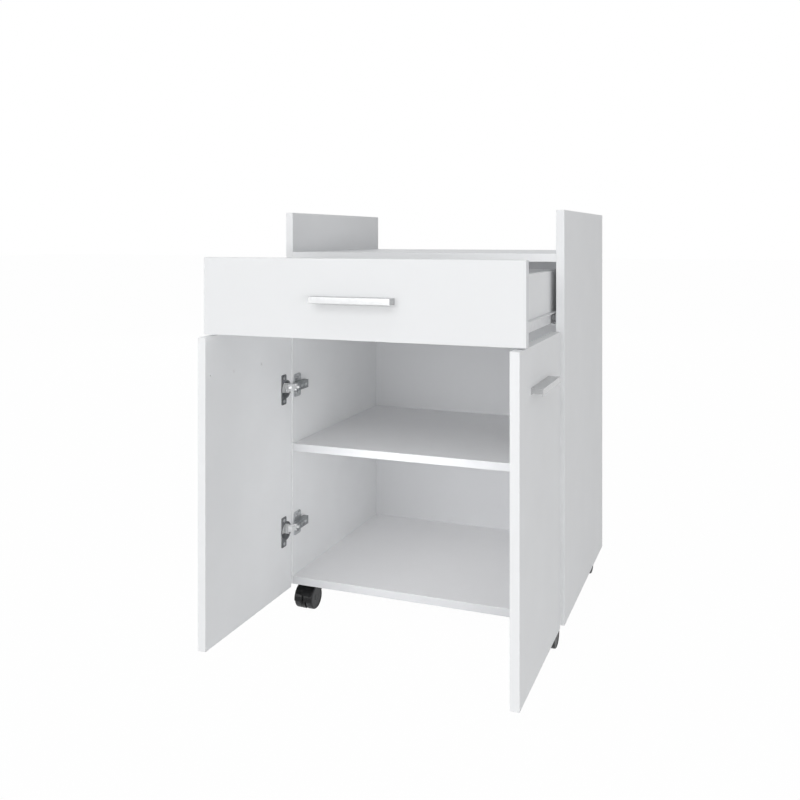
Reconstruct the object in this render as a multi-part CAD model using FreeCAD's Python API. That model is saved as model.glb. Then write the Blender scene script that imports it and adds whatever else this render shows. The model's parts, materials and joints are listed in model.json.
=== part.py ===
import FreeCAD, Part
import math
import os

# Microwave cart on four twin-wheel casters, with one drawer, two doors on concealed hinges
# and a fixed shelf. Millimetres, +X to the right, +Y to the back, +Z up, floor at Z = 0.
# Rest pose: both doors open at 90 degrees, drawer pulled out, casters in line with the sides.

V = FreeCAD.Vector
UP = V(0, 0, 1)
SIDEWAYS = V(1, 0, 0)
BACKWARD = V(0, 1, 0)

# ---- carcass ----
board = 16.0                    # coated board thickness
width = 600.0                   # over the side panels
depth = 440.0                   # side panels, worktop and bottom panel
gallery_height = 83.0           # side panels above the worktop
shelf_height = 298.0            # top of the middle shelf above the side panels' bottom edge
caster_height = 56.0            # floor to the side panels' bottom edge
edge_round = 0.8                # rounding of the panels' long front edges
back_thick = 3.0
back_inset = 10.0               # from the panels' back edge to the back panel
groove_deep = 6.0
groove_play = 0.2               # groove width over the panel thickness
shelf_back_gap = 0.2

# ---- carcass joints ----
cam_dia = 15.0
cam_deep = 12.5
cam_edge = 34.0                 # cam axis from the board's end
bore_play = 0.05                # radial play of a fixed pin in its bore
bolt_shank_dia = 5.0
bolt_head_dia = 7.0
bolt_channel_dia = 8.0
bolt_in_side = 11.0
bolt_neck_dia = 4.0
bolt_head_long = 3.0
bolt_collar = 2.0
cam_head_past = 1.5             # bolt head's end past the cam's axis
cam_slot_deep = 2.5
cam_slot_wide = 1.6
cam_slot_long = 9.0
dowel_dia = 8.0
dowel_long = 30.0
dowel_in_side = 10.0
joint_front = 92.0              # first cam from the front edge
joint_back = 332.0              # second cam from the front edge
dowel_step = 32.0               # dowel from its cam

# ---- doors ----
door_height = 558.0
front_reveal = 0.5              # door and drawer front back from the sides' outer face
centre_gap = 2.0
door_gap = 1.5                  # closed fronts stand this far off the carcass
open_reach = 15.0               # open door's hinge edge in front of the side panels
open_inset = 4.9                # open door's outer face in from the side's outer face
front_gap = 3.0                 # between the doors and the drawer front

# ---- drawer ----
drawer_front_height = 139.0
worktop_above_front = 5.0       # worktop's top over the drawer front's top edge
drawer_out = 272.1              # rest pose, from closed
box_clear = 12.5                # drawer side to side panel, room for a runner
box_side = 12.0
box_height = 98.3
box_long = 400.0
box_lift = 11.7                 # box bottom above the drawer front's bottom edge
box_bottom_thick = 3.0
box_groove_up = 10.0            # groove above the box sides' bottom edge
box_back_drop = 0.5
box_screw_dia = 4.5
box_screw_head = 7.0
box_screw_long = 40.0
box_screw_edge = 25.0           # from the drawer back's bottom and top
box_dowel_dia = 6.0
box_dowel_long = 26.0
box_dowel_in_front = 9.0
box_dowel_low = 26.0
box_dowel_high = 78.0

# ---- runners ----
rail_steel = 1.2
rail_front = 2.0                # cabinet runner starts behind the side's front edge
rail_flange = 10.0
roller_dia = 18.0
roller_wide = 6.6
roller_start = 3.4              # roller's near face from the side panel
roller_ride = 0.05              # play between a roller and its track
rail_head_room = 0.6            # channel's inner height over the roller
rail_drop = 3.0                 # channel's bottom below the drawer box
roller_pin_dia = 5.0
roller_pin_head_dia = 8.0
roller_pin_head = 0.8
roller_play = 0.05
roller_groove_deep = 0.5
cabinet_roller_set = 13.0       # its axis behind the cabinet runner's front end
drawer_roller_set = 12.0        # its axis ahead of the drawer runner's rear end
top_flange_cut = 27.0
rail_screw_end = 50.0           # outer screws from the runner's ends
under_screw_front = 60.0        # screws under the drawer from the runner's ends
under_screw_back = 70.0
drawer_rail_top = 20.0          # top of the drawer runner above the box's bottom
drawer_rail_lip = 3.0           # drawer runner's outer lip from the side panel
rail_screw_dia = 3.0
rail_screw_head = 6.0
rail_screw_head_high = 1.6
rail_screw_long = 12.0
drawer_rail_screw_long = 8.5

# ---- pulls ----
pull_reach = 21.5
pull_height = 11.5
pull_wall = 1.8
pull_lip = 2.6
drawer_pull_long = 150.0
door_pull_long = 128.0
drawer_pull_up = 68.5           # pull's middle above the drawer front's bottom edge
door_pull_drop = 73.0           # pull's middle below the door's top edge
door_pull_edge = 72.0           # pull's end from the door's free edge
pull_boss_dia = 8.0
pull_boss_long = 14.0
pull_screw_spacing = 96.0
pull_screw_dia = 4.0
pull_screw_grip = 10.0          # screw length inside the pull
pull_screw_head_dia = 8.0
pull_screw_head_high = 2.4
pull_edge_round = 0.7
door_peg_dia = 3.0              # small blind mark drilled inside the left door
door_peg_edge = 15.0
door_peg_drop = 70.0
door_peg_deep = 6.0

# ---- hinges ----
hinge_low = 125.0               # above the door's bottom edge
hinge_high = 420.0
cup_dia = 35.0
cup_edge = 21.5                 # cup's middle from the door's hinge edge
cup_deep = 12.6
cup_wall = 1.0
cup_floor = 0.6
cup_flange_thick = 1.2
cup_rim = 1.6                   # rim round the cup's bore
cup_wing_long = 62.0
cup_wing_wide = 18.6
cup_wing_edge = 30.3            # wing's middle from the door's hinge edge
cup_wing_round = 3.0
cup_screw_span = 48.0
cup_notch_half = 8.4
cup_notch_deep = 4.6
cup_lug_thick = 1.2             # ears that hold the pins at the notch
cup_lug_reach = 2.0
pin_dia = 2.0                   # link pins in the cup
arm_pin_x = 29.0                # outer link's pin from the side's outer face
arm_pin_y = -9.2                # and from the side's front edge
arm_pin_dia = 2.4
cup_pin_deep = 6.1              # outer link's cup pin below the door's inner face
inner_pin_x = 31.5
inner_pin_y = -4.5
inner_cup_x = 8.0               # inner link's cup pin, door closed
inner_cup_deep = 2.9
inner_slip = 1.35               # play of the inner link's open pivot
link_thick = 1.4
link_in = 3.0                   # outer link's straps start this far from the middle
link_out = 7.0
inner_half = 2.6
pin_play = 0.05
eye_wall = 0.9
outer_bend_x = 18.9
outer_bend_y = -25.2
inner_bend_x = 24.2
inner_bend_y = -18.9
cheek_in = 7.2
cheek_thick = 1.5
arm_web_x = 28.2
arm_web_thick = 1.5
arm_back = 43.0
arm_cut = 3.0                   # arm's web starts behind the side's front edge
arm_foot = 18.3
cup_pin_half = 9.8
plate_thick = 1.8
plate_front = 4.0
plate_back = 32.0
plate_half = 24.5
plate_wing_round = 5.0
plate_block_front = 4.0
plate_block_back = 38.0
plate_screw_out = 16.0
plate_screw_set = 9.0           # screw's hole behind the plate's front edge
plate_slot_set = 21.5           # oblong hole behind the same edge
plate_slot_dia = 4.2
plate_slot_long = 8.0
hinge_screw_dia = 3.5
hinge_screw_head = 6.6
hinge_screw_head_high = 1.8
hinge_screw_long = 14.0
arm_screw_dia = 4.0
arm_screw_head = 6.4
arm_screw_head_high = 1.6
arm_screw_deep = 6.0
arm_screw_front = 15.0
arm_screw_back = 30.0

# ---- casters ----
wheel_dia = 48.0
wheel_wide = 15.6
wheel_track = 41.0              # over both wheels
wheel_round = 3.0               # both rims of the tread
hub_dia = 40.0                  # flat disc on the wheel's outer side
hub_deep = 0.8
caster_trail = 20.0
caster_in = 40.0                # swivel axis from the side panel's outer face
caster_front = 45.0             # front swivel axes from the sides' front edge
caster_rear = 391.0
axle_dia = 6.0
axle_play = 0.05
hood_gap = 0.6                  # hood over the wheel tread
hood_thick = 1.6
hood_inset = 0.5                # hood's sides in from the wheels' outer sides
hood_round = 1.5
hood_web = 8.6
hood_turn_swivel = 20.0         # hood's end on the swivel side, degrees above the axle
hood_turn_front = 186.0         # its front lip, a little under the axle
hood_foot = 4.0                 # web's lower edge above the floor
hood_slot_wide = 3.6            # slot up the middle of the front lip
hood_slot_deep = 3.0
hood_slot_high = 12.0           # slot's top above the axle
boss_dia = 19.0
boss_low = 30.0                 # swivel boss starts this far above the floor
stem_dia = 8.0
stem_long = 12.0
stem_play = 0.05
swivel_gap = 0.2
caster_plate = 40.0
caster_plate_thick = 2.5
caster_plate_round = 5.0
caster_screw_span = 30.0
caster_screw_dia = 3.5
caster_screw_head = 7.0
caster_screw_head_high = 2.0
caster_screw_long = 13.0

# ---- derived places ----
rail_long = box_long
worktop_height = door_height + front_gap + drawer_front_height + worktop_above_front
side_height = worktop_height + gallery_height
half = width / 2
inner_half_width = half - board
door_width = half - front_reveal - centre_gap / 2
free_edge_y = -open_reach - door_width
middle_y = (free_edge_y + depth) / 2
z_side = caster_height
z_worktop = z_side + worktop_height
z_shelf = z_side + shelf_height
drawer_low = z_side + door_height + front_gap
drawer_y = -drawer_out - door_gap
box_low = drawer_low + box_lift
box_out_x = inner_half_width - box_clear
box_top = box_low + box_height
rail_low = box_low - rail_drop
track_z = rail_low + rail_steel
rail_top = track_z + roller_dia + rail_head_room + rail_steel
drawer_roller_z = track_z + roller_ride + roller_dia / 2
drawer_rail_high = box_low + drawer_rail_top
cabinet_roller_z = drawer_rail_high - rail_steel - roller_ride - roller_dia / 2
cabinet_roller_y = rail_front + cabinet_roller_set
drawer_rail_y = drawer_y
drawer_roller_y = drawer_rail_y + rail_long - drawer_roller_set
hinge_heights = [z_side + hinge_low, z_side + hinge_high]


def box(x0, x1, y0, y1, z0, z1):
    return Part.makeBox(x1 - x0, y1 - y0, z1 - z0, V(x0, y0, z0))


def rod(dia, long, start, axis):
    return Part.makeCylinder(dia / 2, long, start, axis)


def join(pieces):
    whole = pieces[0]
    for piece in pieces[1:]:
        whole = whole.fuse(piece)
    return whole.removeSplitter()


def cut_all(body, tools):
    for tool in tools:
        body = body.cut(tool)
    return body


def soften(body, radius, wanted):
    edges = [edge for edge in body.Edges if wanted(edge)]
    return body.makeFillet(radius, edges)


def mirrored(shape):
    return shape.mirror(V(0, 0, 0), SIDEWAYS)


def plane_face(points, z0, high):
    corners = [V(x, y, z0) for x, y in points]
    wire = Part.makePolygon(corners + [corners[0]])
    return Part.Face(wire).extrude(V(0, 0, high))


def export(name, pieces):
    shape = pieces[0] if len(pieces) == 1 else Part.makeCompound(pieces)
    shape.translate(V(0, -middle_y, 0))
    shape.exportStep("parts/" + name + ".step")


def front_edges(y, low_x, high_x):
    def wanted(edge):
        box_of = edge.BoundBox
        flat_y = abs(box_of.YMin - y) < 0.01 and abs(box_of.YMax - y) < 0.01
        return flat_y and edge.Length > 15 and box_of.XMin > low_x and box_of.XMax < high_x
    return wanted


# ---- screws: a pan head, a shank and a recess, pointing along an axis from the seat of the head ----
def pan_screw(seat, axis, dia, long, head_dia, head_high, head_taper=0.72):
    back = V(-axis.x, -axis.y, -axis.z)
    head = rod(head_dia, head_high, seat, back)
    if head_taper < 1:
        head = Part.makeCone(head_dia / 2, head_dia / 2 * head_taper, head_high, seat, back)
    shank = rod(dia, long - dia / 2, seat, axis)
    point_at = V(seat)
    point_at = point_at.add(V(axis).multiply(long - dia / 2))
    point = Part.makeCone(dia / 2, 0.3, dia / 2, point_at, axis)
    top = V(seat).add(V(back).multiply(head_high))
    screw = join([head, shank, point])
    along = SIDEWAYS if abs(axis.x) < 0.5 else UP
    across = along.cross(axis)
    slot_long = head_dia * 0.5
    slot_wide = head_dia * 0.14
    for one, other in ((along, across), (across, along)):
        start = V(top).sub(V(one).multiply(slot_long / 2)).sub(V(other).multiply(slot_wide / 2))
        face = Part.makePolygon([
            start,
            V(start).add(V(one).multiply(slot_long)),
            V(start).add(V(one).multiply(slot_long)).add(V(other).multiply(slot_wide)),
            V(start).add(V(other).multiply(slot_wide)),
            start])
        screw = screw.cut(Part.Face(face).extrude(V(axis).multiply(head_high * 0.55)))
    return screw


def screw_bore(seat, axis, dia, long):
    return rod(dia + 2 * bore_play, long + 0.5, seat, axis)


# ---- cam joints of the horizontal boards, built for the left end and mirrored ----
def cam_joints(board_low):
    # the cams sit in the board's underside
    parts = {"cams": [], "bolts": [], "dowels": [], "board_cuts": [], "side_cuts": []}
    axis_z = board_low + board / 2
    cam_x = -inner_half_width + cam_edge
    side_end = -inner_half_width - bolt_in_side
    head_end = cam_x + cam_head_past
    for start, step in ((joint_front, dowel_step), (joint_back, -dowel_step)):
        at_side = V(-inner_half_width, start, axis_z)
        cam = rod(cam_dia - 2 * bore_play, cam_deep - bore_play, V(cam_x, start, board_low), UP)
        pocket = rod(bolt_head_dia + 2 * bore_play, cam_dia + cam_head_past + bore_play,
                     V(cam_x - cam_dia, start, axis_z), SIDEWAYS)
        slots = []
        for long_x, long_y in ((cam_slot_long, cam_slot_wide), (cam_slot_wide, cam_slot_long)):
            slots.append(box(cam_x - long_x / 2, cam_x + long_x / 2, start - long_y / 2, start + long_y / 2,
                             board_low - 1, board_low + cam_slot_deep))
        parts["cams"].append(cut_all(cam, [pocket] + slots))
        screw_part = rod(bolt_shank_dia, bolt_in_side, V(side_end, start, axis_z), SIDEWAYS)
        collar = rod(bolt_channel_dia - 2 * bore_play, bolt_collar, at_side, SIDEWAYS)
        neck = rod(bolt_neck_dia, head_end - bolt_head_long + inner_half_width, at_side, SIDEWAYS)
        head = rod(bolt_head_dia, bolt_head_long, V(head_end - bolt_head_long, start, axis_z), SIDEWAYS)
        parts["bolts"].append(join([screw_part, collar, neck, head]))
        parts["board_cuts"].append(rod(bolt_channel_dia, cam_edge, at_side, SIDEWAYS))
        parts["board_cuts"].append(rod(cam_dia, cam_deep, V(cam_x, start, board_low), UP))
        parts["side_cuts"].append(rod(bolt_shank_dia + 2 * bore_play, bolt_in_side + 0.3,
                                      V(side_end - 0.3, start, axis_z), SIDEWAYS))
        dowel_start = -inner_half_width - dowel_in_side
        parts["dowels"].append(rod(dowel_dia, dowel_long, V(dowel_start, start + step, axis_z), SIDEWAYS))
        hole = rod(dowel_dia + 2 * bore_play, dowel_long + 1.0, V(dowel_start - 0.5, start + step, axis_z),
                   SIDEWAYS)
        parts["board_cuts"].append(hole)
        parts["side_cuts"].append(hole)
    return parts


# ---- carcass ----
def panel_groove(x0, x1, z0, z1):
    y1 = depth - back_inset + groove_play / 2
    return box(x0, x1, y1 - back_thick - groove_play, y1, z0, z1)


joint_sets = [
    cam_joints(z_worktop - board),
    cam_joints(z_side),
    cam_joints(z_shelf - board),
]


def side_panel():
    panel = box(-half, -inner_half_width, 0, depth, z_side, z_side + side_height)
    panel = soften(panel, edge_round, front_edges(0, -half - 1, half + 1))
    cuts = [panel_groove(-inner_half_width - groove_deep, -inner_half_width + 1,
                         z_side + board - groove_deep, z_worktop - board + groove_deep)]
    for joints in joint_sets:
        cuts += joints["side_cuts"]
    for y in rail_screw_places:
        cuts.append(screw_bore(V(-inner_half_width, y, rail_screw_z), V(-1, 0, 0), rail_screw_dia,
                               rail_screw_long - rail_steel))
    for z in hinge_heights:
        for side in (-1, 1):
            cuts.append(screw_bore(V(-inner_half_width, plate_screw_y, z + side * plate_screw_out),
                                   V(-1, 0, 0), hinge_screw_dia, hinge_screw_long - plate_thick))
    return cut_all(panel, cuts)


def cross_board(low, cuts_from, y_end):
    panel = box(-inner_half_width, inner_half_width, 0, y_end, low, low + board)
    panel = soften(panel, edge_round, front_edges(0, -half, half))
    cuts = []
    for cut in cuts_from["board_cuts"]:
        cuts += [cut, mirrored(cut)]
    return cut_all(panel, cuts)


rail_screw_z = (track_z + rail_top - rail_steel) / 2
rail_screw_places = [rail_front + rail_screw_end, rail_front + rail_long / 2,
                     rail_front + rail_long - rail_screw_end]
plate_screw_y = plate_front + plate_screw_set

left_side = side_panel()
right_side = mirrored(left_side)
worktop = cross_board(z_worktop - board, joint_sets[0], depth)
worktop = worktop.cut(panel_groove(-inner_half_width - 1, inner_half_width + 1,
                                   z_worktop - board - 1, z_worktop - board + groove_deep))
bottom_panel = cross_board(z_side, joint_sets[1], depth)
bottom_panel = bottom_panel.cut(panel_groove(-inner_half_width - 1, inner_half_width + 1,
                                             z_side + board - groove_deep, z_side + board + 1))
shelf_end = depth - back_inset - back_thick - shelf_back_gap
middle_shelf = cross_board(z_shelf - board, joint_sets[2], shelf_end)
back_reach = inner_half_width + groove_deep - groove_play
back_panel = box(-back_reach, back_reach, depth - back_inset - back_thick, depth - back_inset,
                 z_side + board - groove_deep, z_worktop - board + groove_deep - groove_play)
cam_locks = []
cam_bolts = []
wood_dowels = []
for joints in joint_sets:
    for shapes, group in ((cam_locks, "cams"), (cam_bolts, "bolts"), (wood_dowels, "dowels")):
        for shape in joints[group]:
            shapes += [shape, mirrored(shape)]


# ---- pulls: a hollow-backed profile, drawn with reach p outward from a face at p = 0 ----
def pull_profile(long):
    # built with the face in the plane Y = 0, reaching toward -Y, middle at the origin
    outline = [
        (0, -pull_height / 2), (0, pull_height / 2), (-pull_reach, pull_height / 2),
        (-pull_reach, -pull_height / 2), (-pull_reach + pull_lip, -pull_height / 2),
        (-pull_reach + pull_lip, pull_height / 2 - pull_wall), (-pull_wall, pull_height / 2 - pull_wall),
        (-pull_wall, -pull_height / 2)]
    corners = [V(-long / 2, y, z) for y, z in outline]
    bar = Part.Face(Part.makePolygon(corners + [corners[0]])).extrude(V(long, 0, 0))

    def nose(edge):
        box_of = edge.BoundBox
        return edge.Length > long - 1 and abs(box_of.YMax + pull_reach) < 0.01
    bar = soften(bar, pull_edge_round, nose)
    pieces = [bar]
    for side in (-1, 1):
        pieces.append(rod(pull_boss_dia, pull_boss_long, V(side * pull_screw_spacing / 2, 0, 0), V(0, -1, 0)))
    bar = join(pieces)
    for side in (-1, 1):
        bar = bar.cut(screw_bore(V(side * pull_screw_spacing / 2, 1, 0), V(0, -1, 0), pull_screw_dia,
                                 pull_screw_grip + 1))
    return bar


def pull_screw(x):
    # the flat head lies flush in the panel's inner face
    return pan_screw(V(x, board - pull_screw_head_high, 0), V(0, -1, 0), pull_screw_dia,
                     board - pull_screw_head_high + pull_screw_grip, pull_screw_head_dia,
                     pull_screw_head_high, 1.0)


def pull_bores():
    bores = []
    for x in (-pull_screw_spacing / 2, pull_screw_spacing / 2):
        bores.append(screw_bore(V(x, board, 0), V(0, -1, 0), pull_screw_dia, board + 1))
        bores.append(rod(pull_screw_head_dia + 2 * bore_play, pull_screw_head_high + 1,
                         V(x, board + 1, 0), V(0, -1, 0)))
    return bores


# ---- drawer ----
front_low = drawer_low
front_high = drawer_low + drawer_front_height
front_half = half - front_reveal
drawer_front = box(-front_half, front_half, drawer_y - board, drawer_y, front_low, front_high)
drawer_front = soften(drawer_front, edge_round, front_edges(drawer_y - board, -half, half))
groove_low = box_low + box_groove_up - groove_play / 2
groove_high = groove_low + box_bottom_thick + groove_play
box_in_x = box_out_x - box_side
drawer_front = drawer_front.cut(box(-box_in_x - groove_deep, box_in_x + groove_deep, drawer_y - groove_deep,
                                    drawer_y + 1, groove_low, groove_high))
pull_at = V(0, drawer_y - board, drawer_low + drawer_pull_up)
drawer_pull = pull_profile(drawer_pull_long)
drawer_pull.translate(pull_at)
for bore in pull_bores():
    bore.translate(pull_at)
    drawer_front = drawer_front.cut(bore)
drawer_pull_screws = []
for x in (-pull_screw_spacing / 2, pull_screw_spacing / 2):
    screw = pull_screw(x)
    screw.translate(pull_at)
    drawer_pull_screws.append(screw)

box_side_mid = -(box_out_x + box_in_x) / 2
drawer_side = box(-box_out_x, -box_in_x, drawer_y, drawer_y + box_long, box_low, box_top)
drawer_side = drawer_side.cut(box(-box_in_x - groove_deep, -box_in_x + 1, drawer_y - 1,
                                  drawer_y + box_long + 1, groove_low, groove_high))
drawer_dowels = []
for up in (box_dowel_low, box_dowel_high):
    start = V(box_side_mid, drawer_y - box_dowel_in_front, box_low + up)
    drawer_dowels.append(rod(box_dowel_dia, box_dowel_long, start, BACKWARD))
    hole = rod(box_dowel_dia + 2 * bore_play, box_dowel_long + 1.0, start.sub(V(0, 0.5, 0)), BACKWARD)
    drawer_side = drawer_side.cut(hole)
    drawer_front = cut_all(drawer_front, [hole, mirrored(hole)])
drawer_dowels += [mirrored(dowel) for dowel in drawer_dowels]

bottom_z = box_low + box_groove_up
back_low = bottom_z + box_bottom_thick
drawer_back = box(-box_in_x, box_in_x, drawer_y + box_long - box_side, drawer_y + box_long,
                  back_low, box_top - box_back_drop)
bottom_reach = box_in_x + groove_deep - groove_play
drawer_bottom = box(-bottom_reach, bottom_reach, drawer_y - groove_deep + groove_play, drawer_y + box_long,
                    bottom_z, bottom_z + box_bottom_thick)
box_screw_y = drawer_y + box_long - box_side / 2
drawer_box_screws = []
for z in (back_low + box_screw_edge, box_top - box_screw_edge):
    seat = V(-box_out_x, box_screw_y, z)
    drawer_box_screws.append(pan_screw(seat, SIDEWAYS, box_screw_dia, box_screw_long, box_screw_head, 1.8))
    bore = screw_bore(seat, SIDEWAYS, box_screw_dia, box_screw_long)
    drawer_side = drawer_side.cut(bore)
    drawer_back = cut_all(drawer_back, [bore, mirrored(bore)])
drawer_box_screws += [mirrored(screw) for screw in drawer_box_screws]


# ---- runners, left side; u runs inward from the side panel's inner face ----
def at_u(u):
    return -inner_half_width + u


cabinet_runner = box(at_u(0), at_u(rail_steel), rail_front, rail_front + rail_long, rail_low, rail_top)
low_flange = box(at_u(0), at_u(rail_flange), rail_front, rail_front + rail_long, rail_low, track_z)
top_flange = box(at_u(0), at_u(rail_flange), rail_front + top_flange_cut, rail_front + rail_long,
                 rail_top - rail_steel, rail_top)
roller_end = roller_start + roller_wide
cabinet_pin = rod(roller_pin_dia, roller_end + roller_play, V(at_u(0), cabinet_roller_y, cabinet_roller_z),
                  SIDEWAYS)
cabinet_pin_head = rod(roller_pin_head_dia, roller_pin_head,
                       V(at_u(roller_end + roller_play), cabinet_roller_y, cabinet_roller_z), SIDEWAYS)
cabinet_shoulder = rod(roller_pin_head_dia, roller_start - roller_play,
                       V(at_u(0), cabinet_roller_y, cabinet_roller_z), SIDEWAYS)
cabinet_runner = join([cabinet_runner, low_flange, top_flange, cabinet_pin, cabinet_pin_head, cabinet_shoulder])
for y in rail_screw_places:
    cabinet_runner = cabinet_runner.cut(screw_bore(V(at_u(-1), y, rail_screw_z), SIDEWAYS, rail_screw_dia, 4.0))


def roller(axis_y, axis_z):
    wheel = rod(roller_dia, roller_wide, V(at_u(roller_start), axis_y, axis_z), SIDEWAYS)
    wheel = wheel.makeChamfer(0.4, [edge for edge in wheel.Edges if edge.Length > roller_dia * 2
                                    and edge.BoundBox.XLength < 0.01])
    middle = at_u(roller_start + roller_wide / 2)
    ring_out = rod(roller_dia + 2, 1.6, V(middle - 0.8, axis_y, axis_z), SIDEWAYS)
    ring_in = rod(roller_dia - 2 * roller_groove_deep, 1.6, V(middle - 0.8, axis_y, axis_z), SIDEWAYS)
    bore = rod(roller_pin_dia + 2 * roller_play, roller_wide + 2, V(at_u(roller_start - 1), axis_y, axis_z),
               SIDEWAYS)
    return cut_all(wheel, [ring_out.cut(ring_in), bore])


cabinet_roller = roller(cabinet_roller_y, cabinet_roller_z)
drawer_roller = roller(drawer_roller_y, drawer_roller_z)

drawer_rail_end = drawer_rail_y + rail_long
web = box(at_u(box_clear - rail_steel), at_u(box_clear), drawer_rail_y, drawer_rail_end,
          box_low - rail_steel, drawer_rail_high)
under = box(at_u(box_clear - rail_steel), at_u(box_clear + box_side), drawer_rail_y, drawer_rail_end,
            box_low - rail_steel, box_low)
lip = box(at_u(drawer_rail_lip), at_u(box_clear), drawer_rail_y, drawer_rail_end,
          drawer_rail_high - rail_steel, drawer_rail_high)
drawer_pin_start = roller_start - roller_play
drawer_pin = rod(roller_pin_dia, box_clear - drawer_pin_start,
                 V(at_u(drawer_pin_start), drawer_roller_y, drawer_roller_z), SIDEWAYS)
drawer_pin_head = rod(roller_pin_head_dia, roller_pin_head,
                      V(at_u(drawer_pin_start - roller_pin_head), drawer_roller_y, drawer_roller_z), SIDEWAYS)
drawer_shoulder = rod(roller_pin_head_dia, box_clear - roller_end - roller_play,
                      V(at_u(roller_end + roller_play), drawer_roller_y, drawer_roller_z), SIDEWAYS)
drawer_runner = join([web, under, lip, drawer_pin, drawer_pin_head, drawer_shoulder])
cabinet_runner_screws = [pan_screw(V(at_u(rail_steel), y, rail_screw_z), V(-1, 0, 0), rail_screw_dia,
                                   rail_screw_long, rail_screw_head, rail_screw_head_high)
                         for y in rail_screw_places]
cabinet_runner_screws += [mirrored(screw) for screw in cabinet_runner_screws]
drawer_runner_screws = []
for along in (under_screw_front, rail_long - under_screw_back):
    seat = V(box_side_mid, drawer_rail_y + along, box_low - rail_steel)
    drawer_runner_screws.append(pan_screw(seat, UP, rail_screw_dia, drawer_rail_screw_long + rail_steel,
                                          rail_screw_head, rail_screw_head_high))
    bore = screw_bore(seat.sub(V(0, 0, 0.5)), UP, rail_screw_dia, drawer_rail_screw_long + rail_steel + 0.5)
    drawer_runner = drawer_runner.cut(bore)
    drawer_side = drawer_side.cut(bore)
drawer_runner_screws += [mirrored(screw) for screw in drawer_runner_screws]

# ---- hinge geometry: x inward from the side's outer face, y back from its front edge ----
# The door turns from closed to open about a pole. The outer link's pins follow from it, and they
# give the link and the door equal ends at both stops.
pole_x = ((open_inset + board + door_gap) + (front_reveal - open_reach)) / 2
pole_y = ((front_reveal - open_reach) - (open_inset + board + door_gap)) / 2


def closed_to_open(x, y):
    return pole_x + (y - pole_y), pole_y - (x - pole_x)


to_arm_pin = math.atan2(arm_pin_y - pole_y, arm_pin_x - pole_x)
cup_pin_turn = to_arm_pin + math.pi / 4
cup_pin_reach = (-door_gap - cup_pin_deep - pole_y) / math.sin(cup_pin_turn)
cup_pin_x = pole_x + cup_pin_reach * math.cos(cup_pin_turn)
cup_pin_y = -door_gap - cup_pin_deep
cup_open_x, cup_open_y = closed_to_open(cup_pin_x, cup_pin_y)
inner_cup_y = -door_gap - inner_cup_deep
inner_open_x, inner_open_y = closed_to_open(inner_cup_x, inner_cup_y)


def pin(x, y, dia, z0, z1):
    return rod(dia, z1 - z0, V(x, y, z0), UP)


def strap(points, thick, z0, z1):
    pieces = []
    for (xa, ya), (xb, yb) in zip(points[:-1], points[1:]):
        long = math.hypot(xb - xa, yb - ya)
        nx = -(yb - ya) / long * thick / 2
        ny = (xb - xa) / long * thick / 2
        corners = [(xa + nx, ya + ny), (xb + nx, yb + ny), (xb - nx, yb - ny), (xa - nx, ya - ny)]
        pieces.append(plane_face(corners, z0, z1 - z0))
    for x, y in points[1:-1]:
        pieces.append(pin(x, y, thick, z0, z1))
    return pieces


def link(ends, bend, bores, z0, z1):
    (xa, ya, eye_a), (xb, yb, eye_b) = ends
    pieces = strap([(xa, ya), bend, (xb, yb)], link_thick, z0, z1)
    pieces.append(pin(xa, ya, eye_a, z0, z1))
    pieces.append(pin(xb, yb, eye_b, z0, z1))
    body = join(pieces)
    for (x, y), dia in zip(((xa, ya), (xb, yb)), bores):
        body = body.cut(pin(x, y, dia, z0 - 1, z1 + 1))
    return body


# Every hinge part is built round z = 0 in side coordinates, then set at the two heights.
cup_bore = pin_dia + 2 * pin_play
arm_bore = arm_pin_dia + 2 * pin_play
slip_bore = pin_dia + 2 * inner_slip


def outer_link():
    straps = []
    for z0, z1 in ((link_in, link_out), (-link_out, -link_in)):
        straps.append(link(((cup_open_x, cup_open_y, cup_bore + 2 * eye_wall),
                            (arm_pin_x, arm_pin_y, arm_bore + 2 * eye_wall)),
                           (outer_bend_x, outer_bend_y), (cup_bore, arm_bore), z0, z1))
    return straps


def inner_link():
    return link(((inner_open_x, inner_open_y, cup_bore + 2 * eye_wall),
                 (inner_pin_x, inner_pin_y, slip_bore + 2 * eye_wall)),
                (inner_bend_x, inner_bend_y), (cup_bore, slip_bore), -inner_half, inner_half)


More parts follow.
